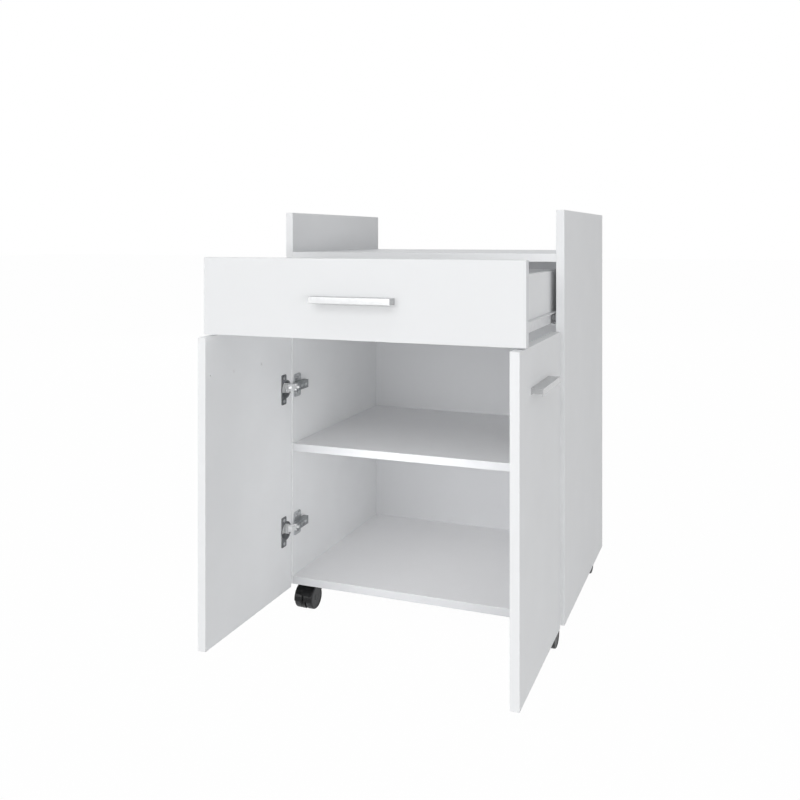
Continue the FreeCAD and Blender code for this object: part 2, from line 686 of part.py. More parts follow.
def hinge_cup():
    # drawn on the open door: its hinge edge at y = -open_reach, inner face at open_inset + board
    face_x = open_inset + board
    mid_y = -open_reach - cup_edge
    wing_y = -open_reach - cup_wing_edge
    body = rod(cup_dia - 2 * bore_play, cup_deep - bore_play, V(face_x - cup_deep + bore_play, mid_y, 0), SIDEWAYS)
    rim = rod(cup_dia + 2 * cup_rim, cup_flange_thick, V(face_x, mid_y, 0), SIDEWAYS)
    wing = box(face_x, face_x + cup_flange_thick, wing_y - cup_wing_wide / 2, wing_y + cup_wing_wide / 2,
               -cup_wing_long / 2, cup_wing_long / 2)
    wing = wing.makeFillet(cup_wing_round, [edge for edge in wing.Edges
                                            if edge.BoundBox.YLength < 0.01 and edge.BoundBox.ZLength < 0.01])
    cup = join([body, rim, wing])
    hollow = rod(cup_dia - 2 * cup_wall, cup_deep + 5, V(face_x - cup_deep + bore_play + cup_floor, mid_y, 0),
                 SIDEWAYS)
    notch = box(face_x - cup_notch_deep, face_x + 5, mid_y, mid_y + cup_dia, -cup_notch_half, cup_notch_half)
    cup = cut_all(cup, [hollow, notch])
    shell = rod(cup_dia - 2 * bore_play, cup_deep, V(face_x - cup_deep + bore_play, mid_y, 0), SIDEWAYS)
    pins = [pin(cup_open_x, cup_open_y, pin_dia, -cup_pin_half, cup_pin_half),
            pin(inner_open_x, inner_open_y, pin_dia, -cup_pin_half, cup_pin_half)]
    for low in (cup_notch_half, -cup_notch_half - cup_lug_thick):
        pins.append(box(cup_open_x - cup_lug_reach, inner_open_x + cup_lug_reach, cup_open_y - cup_lug_reach,
                        mid_y + cup_dia, low, low + cup_lug_thick))
    cup = join([cup] + [piece.common(shell) for piece in pins])
    for side in (-1, 1):
        cup = cup.cut(screw_bore(V(face_x + 3, wing_y, side * cup_screw_span / 2), V(-1, 0, 0),
                                 hinge_screw_dia, 5.0))
    return cup


def cup_screws():
    face_x = open_inset + board + cup_flange_thick
    wing_y = -open_reach - cup_wing_edge
    return [pan_screw(V(face_x, wing_y, side * cup_screw_span / 2), V(-1, 0, 0), hinge_screw_dia,
                      hinge_screw_long, hinge_screw_head, hinge_screw_head_high) for side in (-1, 1)]


def door_hinge_cuts():
    face_x = open_inset + board
    mid_y = -open_reach - cup_edge
    cuts = [rod(cup_dia, cup_deep + 5, V(face_x - cup_deep, mid_y, 0), SIDEWAYS)]
    for side in (-1, 1):
        cuts.append(screw_bore(V(face_x, -open_reach - cup_wing_edge, side * cup_screw_span / 2), V(-1, 0, 0),
                               hinge_screw_dia, hinge_screw_long - cup_flange_thick))
    return cuts


def hinge_arm():
    cheek_out = cheek_in + cheek_thick
    nose = [(arm_foot, arm_back), (arm_foot, arm_cut + 1.0), (24.0, -3.0), (arm_pin_x - 2.3, arm_pin_y),
            (arm_pin_x - 1.0, arm_pin_y - 2.1), (arm_pin_x + 1.0, arm_pin_y - 2.1),
            (inner_pin_x + 2.0, inner_pin_y - 1.0), (inner_pin_x + 1.4, inner_pin_y + 1.8),
            (arm_web_x + arm_web_thick, arm_cut), (arm_web_x + arm_web_thick, arm_back)]
    pieces = []
    for z0 in (cheek_in, -cheek_out):
        pieces.append(plane_face(nose, z0, cheek_thick))
    pieces.append(box(arm_web_x, arm_web_x + arm_web_thick, arm_cut, arm_back, -cheek_out, cheek_out))
    for z0, z1 in ((link_in, cheek_in), (-cheek_in, -link_in)):
        pieces.append(pin(arm_pin_x, arm_pin_y, arm_pin_dia, z0, z1))
    pieces.append(pin(inner_pin_x, inner_pin_y, pin_dia, -cheek_in, cheek_in))
    arm = join(pieces)
    for y in (arm_screw_front, arm_screw_back):
        arm = arm.cut(screw_bore(V(arm_web_x + arm_web_thick + 1, y, 0), V(-1, 0, 0), arm_screw_dia, 6.0))
    return arm


def mounting_plate():
    wings = box(board, board + plate_thick, plate_front, plate_back, -plate_half, plate_half)
    wings = wings.makeFillet(plate_wing_round, [edge for edge in wings.Edges
                                                if edge.BoundBox.YLength < 0.01 and edge.BoundBox.ZLength < 0.01])
    block = box(board, arm_web_x, plate_block_front, plate_block_back, -cheek_in + 0.3, cheek_in - 0.3)
    plate = join([wings, block])
    for side in (-1, 1):
        plate = plate.cut(screw_bore(V(board - 1, plate_screw_y, side * plate_screw_out), SIDEWAYS,
                                     hinge_screw_dia, 6.0))
        slot_y = plate_front + plate_slot_set
        slot_half = (plate_slot_long - plate_slot_dia) / 2
        middle = side * plate_screw_out
        for end in (-slot_half, slot_half):
            plate = plate.cut(rod(plate_slot_dia, plate_thick + 2, V(board - 1, slot_y, middle + end), SIDEWAYS))
        plate = plate.cut(box(board - 1, board + plate_thick + 1, slot_y - plate_slot_dia / 2,
                              slot_y + plate_slot_dia / 2, middle - slot_half, middle + slot_half))
    for y in (arm_screw_front, arm_screw_back):
        plate = plate.cut(screw_bore(V(arm_web_x + 1, y, 0), V(-1, 0, 0), arm_screw_dia, arm_screw_deep + 1))
    return plate


def hinge_screws():
    screws = [pan_screw(V(board + plate_thick, plate_screw_y, side * plate_screw_out), V(-1, 0, 0),
                        hinge_screw_dia, hinge_screw_long, hinge_screw_head, hinge_screw_head_high)
              for side in (-1, 1)]
    for y in (arm_screw_front, arm_screw_back):
        screws.append(pan_screw(V(arm_web_x + arm_web_thick, y, 0), V(-1, 0, 0), arm_screw_dia,
                                arm_screw_deep + arm_web_thick, arm_screw_head, arm_screw_head_high))
    return screws


def set_left(shapes):
    placed = []
    for z in hinge_heights:
        for shape in shapes:
            piece = shape.copy()
            piece.translate(V(-half, 0, z))
            placed.append(piece)
    return placed


def both_sides(shapes):
    return shapes + [mirrored(shape) for shape in shapes]


left_cups = set_left([hinge_cup()])
left_cup_screws = set_left(cup_screws())
left_outer_links = set_left(outer_link())
left_inner_links = set_left([inner_link()])
hinge_arms = both_sides(set_left([hinge_arm()]))
hinge_mounting_plates = both_sides(set_left([mounting_plate()]))
hinge_screw_set = both_sides(set_left(hinge_screws()))

# ---- doors, drawn open ----
door_out_x = -half + open_inset
door_in_x = door_out_x + board


def door():
    panel = box(door_out_x, door_in_x, free_edge_y, -open_reach, z_side, z_side + door_height)

    def outer(edge):
        box_of = edge.BoundBox
        return abs(box_of.XMin - door_out_x) < 0.01 and box_of.XLength < 0.01
    panel = soften(panel, edge_round, outer)
    return cut_all(panel, set_left(door_hinge_cuts()))


def turned_for_left_door(shape):
    # from reaching toward -Y to reaching toward -X, onto the open left door's outer face
    shape.rotate(V(0, 0, 0), UP, -90)
    shape.translate(V(door_out_x, door_pull_y, door_pull_z))
    return shape


door_pull_y = free_edge_y + door_pull_edge + door_pull_long / 2
door_pull_z = z_side + door_height - door_pull_drop
left_door = door()
for bore in pull_bores():
    left_door = left_door.cut(turned_for_left_door(bore))
left_door_pull = turned_for_left_door(pull_profile(door_pull_long))
left_pull_screws = [turned_for_left_door(pull_screw(x)) for x in (-pull_screw_spacing / 2, pull_screw_spacing / 2)]
right_door = mirrored(left_door)
peg_mark = rod(door_peg_dia, door_peg_deep + 1,
               V(door_in_x - door_peg_deep, free_edge_y + door_peg_edge, z_side + door_height - door_peg_drop),
               SIDEWAYS)
left_door = left_door.cut(peg_mark)


# ---- casters, drawn with the swivel axis at x = y = 0 and the wheels toward -Y ----
def caster_wheel(side):
    inner = wheel_track / 2 - wheel_wide
    start = inner if side > 0 else -wheel_track / 2
    axle_z = wheel_dia / 2
    wheel = rod(wheel_dia, wheel_wide, V(start, -caster_trail, axle_z), SIDEWAYS)
    outer_x = side * wheel_track / 2
    wheel = wheel.makeFillet(wheel_round, [edge for edge in wheel.Edges if edge.BoundBox.XLength < 0.01])
    disc_start = outer_x - hub_deep if side > 0 else outer_x - 1
    wheel = wheel.cut(rod(hub_dia, hub_deep + 1, V(disc_start, -caster_trail, axle_z), SIDEWAYS))
    bore = rod(axle_dia, wheel_wide - 4.0, V(start if side > 0 else start + 4.0, -caster_trail, axle_z), SIDEWAYS)
    return wheel.cut(bore)


def caster_axle():
    reach = wheel_track / 2 - 4.0
    return rod(axle_dia, 2 * reach, V(-reach, -caster_trail, wheel_dia / 2), SIDEWAYS)


def caster_hood():
    axle_z = wheel_dia / 2
    inner_r = wheel_dia / 2 + hood_gap
    outer_r = inner_r + hood_thick
    wide = wheel_track - 2 * hood_inset
    shell = rod(2 * outer_r, wide, V(-wide / 2, -caster_trail, axle_z), SIDEWAYS)
    shell = soften(shell, hood_round, lambda edge: edge.BoundBox.XLength < 0.01)
    shell = shell.cut(rod(2 * inner_r, wide + 2, V(-wide / 2 - 1, -caster_trail, axle_z), SIDEWAYS))
    # keep the part of the ring between the two turns, measured from the swivel side over the top
    keep = []
    steps = 8
    far = outer_r * 1.3
    for step in range(steps):
        t0 = math.radians(hood_turn_swivel + (hood_turn_front - hood_turn_swivel) * step / steps)
        t1 = math.radians(hood_turn_swivel + (hood_turn_front - hood_turn_swivel) * (step + 1) / steps)
        corners = [V(-wide, -caster_trail, axle_z)]
        for turn in (t0, t1):
            corners.append(V(-wide, -caster_trail + far * math.cos(turn), axle_z + far * math.sin(turn)))
        keep.append(Part.Face(Part.makePolygon(corners + [corners[0]])).extrude(V(2 * wide, 0, 0)))
    shell = shell.common(join(keep))
    web_disc = rod(2 * inner_r + 0.4, hood_web, V(-hood_web / 2, -caster_trail, axle_z), SIDEWAYS)
    web_disc = web_disc.cut(box(-hood_web, hood_web, -caster_trail - outer_r * 2, outer_r, -outer_r, hood_foot))
    boss = rod(boss_dia, caster_height - caster_plate_thick - swivel_gap - boss_low, V(0, 0, boss_low), UP)
    boss = boss.cut(box(-boss_dia, boss_dia, -caster_trail - inner_r, boss_dia, 0, boss_low))
    wheel_room = rod(2 * inner_r, wide, V(-wide / 2, -caster_trail, axle_z), SIDEWAYS)
    wheel_room = wheel_room.cut(rod(2 * inner_r + 2, hood_web, V(-hood_web / 2, -caster_trail, axle_z), SIDEWAYS))
    boss = boss.cut(wheel_room)
    body = join([shell, web_disc, boss])
    front = -caster_trail - outer_r
    body = body.cut(box(-hood_slot_wide / 2, hood_slot_wide / 2, front - 1, front + hood_slot_deep,
                        0, axle_z + hood_slot_high))
    bores = [rod(axle_dia + 2 * axle_play, hood_web + 2, V(-hood_web / 2 - 1, -caster_trail, axle_z), SIDEWAYS)]
    stem_low = caster_height - caster_plate_thick - stem_long
    bores.append(rod(stem_dia + 2 * stem_play, stem_long + 2, V(0, 0, stem_low - 0.5), UP))
    return cut_all(body, bores)


def caster_plate_piece():
    low = caster_height - caster_plate_thick
    reach = caster_plate / 2
    plate = box(-reach, reach, -reach, reach, low, caster_height)
    plate = plate.makeFillet(caster_plate_round, [edge for edge in plate.Edges if edge.BoundBox.XLength < 0.01
                                                  and edge.BoundBox.YLength < 0.01])
    stem = rod(stem_dia, stem_long, V(0, 0, low - stem_long), UP)
    plate = join([plate, stem])
    for x, y in screw_corners:
        plate = plate.cut(screw_bore(V(x, y, low - 1), UP, caster_screw_dia, caster_plate_thick + 2))
    return plate


screw_reach = caster_screw_span / 2
screw_corners = [(x, y) for x in (-screw_reach, screw_reach) for y in (-screw_reach, screw_reach)]


def caster_screws():
    low = caster_height - caster_plate_thick
    return [pan_screw(V(x, y, low), UP, caster_screw_dia, caster_screw_long, caster_screw_head,
                      caster_screw_head_high) for x, y in screw_corners]


def place_caster(shape, x, y, turned):
    piece = shape.copy()
    if turned:
        piece.rotate(V(0, 0, 0), UP, 180)
    piece.translate(V(x, y, 0))
    return piece


caster_x = half - caster_in
caster_places = [
    ("front_left", -caster_x, caster_front, False),
    ("front_right", caster_x, caster_front, False),
    ("rear_left", -caster_x, caster_rear, True),
    ("rear_right", caster_x, caster_rear, True),
]
caster_plates = []
caster_plate_screws = []
hood = caster_hood()
axle = caster_axle()
wheels = [caster_wheel(-1), caster_wheel(1)]
plate_piece = caster_plate_piece()
plate_screws = caster_screws()

os.makedirs("parts", exist_ok=True)

for name, x, y, turned in caster_places:
    caster_plates.append(place_caster(plate_piece, x, y, turned))
    for screw in plate_screws:
        placed = place_caster(screw, x, y, turned)
        caster_plate_screws.append(placed)
        shank = screw_bore(V(0, 0, caster_height - 0.5), UP, caster_screw_dia,
                           caster_screw_long - caster_plate_thick + 0.5)
        at = placed.BoundBox
        shank.translate(V((at.XMin + at.XMax) / 2, (at.YMin + at.YMax) / 2, 0))
        bottom_panel = bottom_panel.cut(shank)
    export("caster_hood_" + name, [place_caster(hood, x, y, turned)])
    export("caster_axle_" + name, [place_caster(axle, x, y, turned)])
    export("caster_wheels_" + name, [place_caster(wheel, x, y, turned) for wheel in wheels])

export("left_side_panel", [left_side])
export("right_side_panel", [right_side])
export("worktop", [worktop])
export("bottom_panel", [bottom_panel])
export("middle_shelf", [middle_shelf])
export("back_panel", [back_panel])
export("cam_locks", cam_locks)
export("cam_bolts", cam_bolts)
export("wood_dowels", wood_dowels)
export("drawer_front", [drawer_front])
export("drawer_right_side", [mirrored(drawer_side)])
export("drawer_left_side", [drawer_side])
export("drawer_back", [drawer_back])
export("drawer_bottom", [drawer_bottom])
export("drawer_pull", [drawer_pull])
export("drawer_pull_screws", drawer_pull_screws)
export("drawer_box_screws", drawer_box_screws)
export("drawer_dowels", drawer_dowels)
export("right_cabinet_runner", [mirrored(cabinet_runner)])
export("left_cabinet_runner", [cabinet_runner])
export("right_drawer_runner", [mirrored(drawer_runner)])
export("left_drawer_runner", [drawer_runner])
export("right_cabinet_roller", [mirrored(cabinet_roller)])
export("left_cabinet_roller", [cabinet_roller])
export("right_drawer_roller", [mirrored(drawer_roller)])
export("left_drawer_roller", [drawer_roller])
export("cabinet_runner_screws", cabinet_runner_screws)
export("drawer_runner_screws", drawer_runner_screws)
export("right_door", [right_door])
export("left_door", [left_door])
export("right_door_pull", [mirrored(left_door_pull)])
export("left_door_pull", [left_door_pull])
export("right_door_pull_screws", [mirrored(screw) for screw in left_pull_screws])
export("left_door_pull_screws", left_pull_screws)
export("hinge_mounting_plates", hinge_mounting_plates)
export("hinge_arms", hinge_arms)
export("hinge_screws", hinge_screw_set)
export("right_hinge_cups", [mirrored(cup) for cup in left_cups])
export("left_hinge_cups", left_cups)
export("right_outer_links", [mirrored(strap_piece) for strap_piece in left_outer_links])
export("left_outer_links", left_outer_links)
export("right_inner_links", [mirrored(strap_piece) for strap_piece in left_inner_links])
export("left_inner_links", left_inner_links)
export("right_cup_screws", [mirrored(screw) for screw in left_cup_screws])
export("left_cup_screws", left_cup_screws)
export("caster_plates", caster_plates)
export("caster_plate_screws", caster_plate_screws)
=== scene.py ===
import bpy
import json
import math
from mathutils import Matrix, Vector


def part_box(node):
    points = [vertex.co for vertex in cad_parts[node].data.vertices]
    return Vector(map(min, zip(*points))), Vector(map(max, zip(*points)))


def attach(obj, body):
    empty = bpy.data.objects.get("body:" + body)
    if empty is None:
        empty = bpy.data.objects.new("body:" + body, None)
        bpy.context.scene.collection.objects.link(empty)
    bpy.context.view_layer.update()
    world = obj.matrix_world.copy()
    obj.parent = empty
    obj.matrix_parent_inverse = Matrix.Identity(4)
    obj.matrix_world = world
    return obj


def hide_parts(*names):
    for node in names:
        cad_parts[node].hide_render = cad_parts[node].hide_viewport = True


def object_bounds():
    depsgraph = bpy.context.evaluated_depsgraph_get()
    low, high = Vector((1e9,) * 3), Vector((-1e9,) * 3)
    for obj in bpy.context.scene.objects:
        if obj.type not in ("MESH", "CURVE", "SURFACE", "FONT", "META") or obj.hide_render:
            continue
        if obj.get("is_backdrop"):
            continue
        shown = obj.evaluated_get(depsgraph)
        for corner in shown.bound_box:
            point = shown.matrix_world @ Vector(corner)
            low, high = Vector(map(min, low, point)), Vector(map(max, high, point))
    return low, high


# White microwave cart with raised side panels, a drawer, two doors, a shelf and twin-wheel casters.
# Metres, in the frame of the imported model. At rest the drawer and both doors stand open.

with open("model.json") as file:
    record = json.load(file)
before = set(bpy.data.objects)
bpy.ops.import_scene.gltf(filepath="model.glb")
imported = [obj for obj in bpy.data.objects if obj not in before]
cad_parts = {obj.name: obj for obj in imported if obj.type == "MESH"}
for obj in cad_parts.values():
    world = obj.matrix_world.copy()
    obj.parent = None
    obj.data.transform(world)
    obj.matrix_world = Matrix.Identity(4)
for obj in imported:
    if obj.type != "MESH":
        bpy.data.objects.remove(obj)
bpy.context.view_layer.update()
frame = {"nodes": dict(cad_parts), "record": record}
nodes = frame["nodes"]
MM = 0.001

# ---- materials; sizes of patterns are in millimetres ----
NOISE_LOW, NOISE_HIGH = 0.3, 0.7        # noise values that stand for its two ends
BOARD_CLOUD = 90                        # slow drift of the paper's tint
BOARD_PEBBLE = 1.2                      # the press plate's pebble, 0.4 in life, coarse enough to show
COATING_CLOUD = 12
FACING_FRONT = -0.75                    # a face is turned to the front when its normal's Y is below this


def tone(hex_code):
    # sRGB hex to the linear colour that a shader takes
    parts = [int(hex_code[i:i + 2], 16) / 255 for i in (1, 3, 5)]
    return tuple(c / 12.92 if c <= 0.04045 else ((c + 0.055) / 1.055) ** 2.4 for c in parts) + (1.0,)


def new_finish(name):
    material = bpy.data.materials.new(name)
    material.use_nodes = True
    tree = material.node_tree
    tree.nodes.clear()
    return material, tree


def add(tree, kind, links=None, **settings):
    # one node with its settings; links maps an input to an output socket, a value or a colour
    node = tree.nodes.new(kind)
    for key, value in settings.items():
        setattr(node, key, value)
    for key, value in (links or {}).items():
        socket = node.inputs[key]
        if isinstance(value, bpy.types.NodeSocket):
            tree.links.new(value, socket)
        else:
            socket.default_value = value
    return node


def per_mm(millimetres):
    # a noise scale whose features are about this size
    return 1.0 / (millimetres * MM)


def between_tints(tree, noise, low, high):
    # drifts from one tint to the other as the noise goes from its low to its high end
    share = add(tree, "ShaderNodeMapRange", {0: noise, 1: NOISE_LOW, 2: NOISE_HIGH}).outputs[0]
    return add(tree, "ShaderNodeMix", {"Factor": share, 6: tone(low), 7: tone(high)},
               data_type="RGBA").outputs[2]


def seen_directly(tree):
    # 1 for what the camera sees, also in a reflection or through glass, and 0 for what only lights
    rays = add(tree, "ShaderNodeLightPath").outputs
    plain = add(tree, "ShaderNodeMath", {0: rays["Is Camera Ray"], 1: rays["Is Glossy Ray"]}, operation="MAXIMUM")
    return add(tree, "ShaderNodeMath", {0: plain.outputs[0], 1: rays["Is Transmission Ray"]},
               operation="MAXIMUM").outputs[0]


def melamine_board(name, face, edge, rough=0.6):
    # White melamine paper pressed on chipboard against a pearl plate: an even satin face with a faint pebble.
    # Faces turned to the front take the edge tint, the banding's own tone; on the inner boards it is set greyer as
    # painted shade.
    material, tree = new_finish(name)
    place = add(tree, "ShaderNodeTexCoord").outputs["Object"]
    cloud = add(tree, "ShaderNodeTexNoise",
                {"Vector": place, "Scale": per_mm(BOARD_CLOUD), "Detail": 3.0}).outputs["Fac"]
    face_tint = between_tints(tree, cloud, *face)
    normal = add(tree, "ShaderNodeNewGeometry").outputs["Normal"]
    part = add(tree, "ShaderNodeSeparateXYZ", {"Vector": normal})
    # faces turned to the front take the edge tint; on the inner boards that tint is painted shade
    front = add(tree, "ShaderNodeMath", {0: part.outputs["Y"], 1: FACING_FRONT}, operation="LESS_THAN")
    tint = add(tree, "ShaderNodeMix", {"Factor": front.outputs[0], 6: face_tint, 7: tone(edge)}, data_type="RGBA")
    pebble = add(tree, "ShaderNodeTexNoise",
                 {"Vector": place, "Scale": per_mm(BOARD_PEBBLE), "Detail": 2.0}).outputs["Fac"]
    wear = add(tree, "ShaderNodeMapRange",
               {0: cloud, 1: NOISE_LOW, 2: NOISE_HIGH, 3: rough - 0.03, 4: rough + 0.04})
    bump = add(tree, "ShaderNodeBump", {"Height": pebble, "Strength": 0.05, "Distance": 0.0002})
    skin = add(tree, "ShaderNodeBsdfPrincipled", {
        "Base Color": tint.outputs[2], "Roughness": wear.outputs[0], "Normal": bump.outputs[0],
        "IOR": 1.5, "Specular IOR Level": 0.25})
    add(tree, "ShaderNodeOutputMaterial", {"Surface": skin.outputs[0]})
    return material


def coated(name, low, high, rough, grain_mm, strength=0.06, metal=0.0, shine=0.5):
    # A sprayed, plated or moulded surface: two close tints, a grain of the stated size, and a
    # roughness that drifts a little with the same grain.
    material, tree = new_finish(name)
    place = add(tree, "ShaderNodeTexCoord").outputs["Object"]
    cloud = add(tree, "ShaderNodeTexNoise",
                {"Vector": place, "Scale": per_mm(COATING_CLOUD), "Detail": 4.0}).outputs["Fac"]
    grain = add(tree, "ShaderNodeTexNoise",
                {"Vector": place, "Scale": per_mm(grain_mm), "Detail": 3.0}).outputs["Fac"]
    bump = add(tree, "ShaderNodeBump", {"Height": grain, "Strength": strength, "Distance": 0.0003})
    wear = add(tree, "ShaderNodeMapRange",
               {0: grain, 1: NOISE_LOW, 2: NOISE_HIGH, 3: rough - 0.04, 4: rough + 0.05})
    skin = add(tree, "ShaderNodeBsdfPrincipled", {
        "Base Color": between_tints(tree, cloud, low, high), "Roughness": wear.outputs[0],
        "Normal": bump.outputs[0], "Metallic": metal, "Specular IOR Level": shine})
    add(tree, "ShaderNodeOutputMaterial", {"Surface": skin.outputs[0]})
    return material


# pressed melamine paper: a soft, even white with no visible grain
white_board = melamine_board("melamine faced chipboard", ("#F2F3F4", "#F5F6F7"), "#F3F4F5")
# the same board, tinted a little greyer where it faces the light: painted shade; the
# same board, matched a little greyer where it faces the light
front_board_painted_shade = melamine_board("melamine faced chipboard, drawer front", ("#EBECEE", "#EEEFF1"), "#EEEFF0")
# the same board, tinted greyer again on the flat top: painted shade; the same board,
# matched greyer again on the flat top
top_board_painted_shade = melamine_board("melamine faced chipboard, worktop", ("#E4E5E7", "#E8E9EB"), "#F3F4F5")
# the same board, tinted lighter inside as painted light, with painted shade as greyer banding on its front
# edges; the same board, matched lighter inside, with greyer banding on its front edges
inner_board_painted_light = melamine_board("melamine faced chipboard, inner boards", ("#F9F9FA", "#FBFBFC"), "#DDDEE0")
# extruded and anodised: a pale metal with a soft, even sheen
pull_metal = coated("satin anodised aluminium", "#BCBDBE", "#C4C5C6", 0.30, 0.8, 0.03, 1.0)
# painted shade: a flat mid grey for the blocks set in each pull's hollow ends
shade_block_grey = coated("grey block, painted shade", "#B4B5B6", "#BCBDBE", 0.5, 0.8, 0.05)
# roll-formed steel baked under powder: a thick white film with a fine orange peel
rail_enamel = coated("white epoxy powder coat", "#E4E5E7", "#EBECED", 0.38, 0.6, 0.10)
# sprayed over the head: smooth and a little glossier than the board round it
screw_lacquer = coated("white lacquered screw head", "#ECEDEE", "#F2F2F3", 0.34, 0.8)
# barrel plated: a cool, bright metal with a faint mottle
zinc = coated("blue zinc plated steel", "#A9ACAF", "#C0C2C4", 0.32, 0.5, 0.06, 1.0)
# stamped and satin plated: pale with broad highlights, half metallic to stay as pale as in the photograph
bright_nickel = coated("satin nickel plated steel", "#D9DADB", "#E2E3E4", 0.45, 0.7, 0.03, 0.5)
# moulded: pale and slightly waxy
cup_grey = coated("light grey acetal", "#DEDFE0", "#E6E7E8", 0.42, 0.8, 0.04)
# deep-drawn and plated, darkened as painted shade so the cup in its recess reads as shaded
cup_nickel_painted_shade = coated("nickel plated cup, painted shade", "#7C7E80", "#8E9092", 0.34, 0.6, 0.04, 0.9)
# pressed and plated: a mid grey between cup and plate
arm_nickel = coated("dark nickel plated arm", "#94979A", "#A5A8AA", 0.36, 0.6, 0.04, 0.6)
# pressed and plated: the lightest grey of the hinge's fixed parts
plate_nickel = coated("satin nickel plated plate", "#BDC0C2", "#CACCCE", 0.38, 0.6, 0.04, 0.6)
# cold-headed and plated: small sharp highlights
screw_nickel = coated("nickel plated screw", "#B2B4B6", "#C6C8C9", 0.30, 0.6, 0.04, 0.9)
# moulded: matt, with a fine tooth
nylon = coated("grey nylon", "#8E8F91", "#9B9C9E", 0.5, 0.5, 0.08)
# moulded in a polished tool: near black with clear highlights
hood_black = coated("gloss black polypropylene", "#0D0E0F", "#141517", 0.24, 1.5, 0.03, 0.0, 0.28)
# moulded in an eroded tool: a lighter, duller black than the hood
wheel_black = coated("satin black nylon", "#28292B", "#343537", 0.42, 0.5, 0.08, 0.0, 0.3)
# turned and left raw: a warm, dry tan
turned_beech = coated("turned beech", "#B99664", "#CBA978", 0.6, 0.6, 0.2)

FINISH = {
    "white_board": white_board, "hardwood": turned_beech, "white_pull": pull_metal,
    "white_steel": rail_enamel, "white_screw": screw_lacquer, "zinc": zinc, "link_steel": bright_nickel,
    "dark_nickel": screw_nickel, "roller_nylon": nylon, "hood_black": hood_black, "wheel_black": wheel_black,
}
# drawer front and worktop take the boards tinted as painted shade, the inner boards the one tinted as painted
# light
BOARD_FINISH = {"drawer_front": front_board_painted_shade, "middle_shelf": inner_board_painted_light, "bottom_panel": inner_board_painted_light,
                "back_panel": inner_board_painted_light, "worktop": top_board_painted_shade}
for entry in frame["record"]["subparts"]:
    carried = nodes[entry["node"]]
    carried.data.materials.clear()
    finish = BOARD_FINISH.get(entry["node"], FINISH[entry["material_slot"]])
    carried.data.materials.append(finish)

# ---- camera: level, set by the cart's straight edges, with the frame shifted as in the photograph ----
IMAGE_SIDE = 800
SENSOR = 36.0
FOCAL_PIXELS = 846.23
CENTRE_COLUMN = 448.34                  # photograph's column straight ahead of the lens
HORIZON_ROW = 237.17
CAMERA_TURN = 19.54                     # degrees
CAMERA_FROM_SIDE = 628.88               # mm right of the cart's middle
CAMERA_FROM_FRONT = 1583.58             # mm in front of the side panels' front edge
CAMERA_HEIGHT = 736.18                  # mm above the side panels' bottom edge

panel_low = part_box("left_side_panel")[0]
camera_data = bpy.data.cameras.new("camera")
camera = bpy.data.objects.new("camera", camera_data)
bpy.context.scene.collection.objects.link(camera)
camera_data.sensor_width = SENSOR
camera_data.lens = SENSOR * FOCAL_PIXELS / IMAGE_SIDE
camera_data.shift_x = (IMAGE_SIDE / 2 - CENTRE_COLUMN) / IMAGE_SIDE
camera_data.shift_y = (HORIZON_ROW - IMAGE_SIDE / 2) / IMAGE_SIDE
camera.location = (CAMERA_FROM_SIDE * MM, panel_low.y - CAMERA_FROM_FRONT * MM,
                   panel_low.z + CAMERA_HEIGHT * MM)
camera.rotation_euler = (math.radians(90), 0, math.radians(CAMERA_TURN))
bpy.context.scene.camera = camera

# ---- modelling helpers; pieces are shaped in millimetres, then set down in metres ----
NEAR = 0.01                             # a point this near a face's level is on it
FINE_ANGLE = 50                         # degrees, edges sharper than this get the small rolled edge
ROUND = 72                              # sides of the large round shapes
SMOOTH_ANGLE = 35
DOUBLES = 0.000002                      # metres


def only(piece):
    bpy.ops.object.select_all(action="DESELECT")
    piece.select_set(True)
    bpy.context.view_layer.objects.active = piece


def fix_in_mesh(piece):
    only(piece)
    bpy.ops.object.transform_apply(location=True, rotation=True, scale=True)
    return piece


def block(x0, x1, y0, y1, z0, z1):
    bpy.ops.object.select_all(action="DESELECT")
    bpy.ops.mesh.primitive_cube_add(size=1.0, location=((x0 + x1) / 2, (y0 + y1) / 2, (z0 + z1) / 2))
    piece = bpy.context.active_object
    piece.scale = (x1 - x0, y1 - y0, z1 - z0)
    return fix_in_mesh(piece)


def round_bar(dia, start, end, sides=48, tip=None):
    # a round bar from start to end, or a taper when tip gives the far end's diameter
    start, end = Vector(start), Vector(end)
    turn = (end - start).to_track_quat("Z", "Y").to_euler()
    bpy.ops.object.select_all(action="DESELECT")
    bpy.ops.mesh.primitive_cone_add(vertices=sides, radius1=dia / 2, radius2=(tip or dia) / 2,
                                    depth=(end - start).length, location=(start + end) / 2, rotation=turn)
    return fix_in_mesh(bpy.context.active_object)


def done():
    bpy.ops.object.mode_set(mode="OBJECT")


def prism(corners, along):
    # a plate outline, drawn as a ring of points and pulled out along a vector
    bpy.ops.object.select_all(action="DESELECT")
    bpy.ops.mesh.primitive_circle_add(vertices=len(corners), radius=1.0, fill_type="NGON")
    piece = bpy.context.active_object
    for vertex, corner in zip(piece.data.vertices, corners):
        vertex.co = corner
    bpy.ops.object.mode_set(mode="EDIT")
    bpy.ops.mesh.select_all(action="SELECT")
    bpy.ops.mesh.extrude_region_move(TRANSFORM_OT_translate={"value": along})
    bpy.ops.mesh.select_all(action="SELECT")
    bpy.ops.mesh.normals_make_consistent(inside=False)
    done()
    return piece


def choose(piece, kind, wanted):
    # opens the piece in edit mode with the faces or edges that lie where they are wanted
    only(piece)
    bpy.ops.object.mode_set(mode="EDIT")
    bpy.ops.mesh.select_mode(type=kind)
    bpy.ops.mesh.select_all(action="DESELECT")
    done()
    mesh = piece.data
    if kind == "FACE":
        for face in mesh.polygons:
            face.select = wanted(face.center, face.normal)
    else:
        for edge in mesh.edges:
            edge.select = wanted(*(mesh.vertices[i].co for i in edge.vertices))
    bpy.ops.object.mode_set(mode="EDIT")


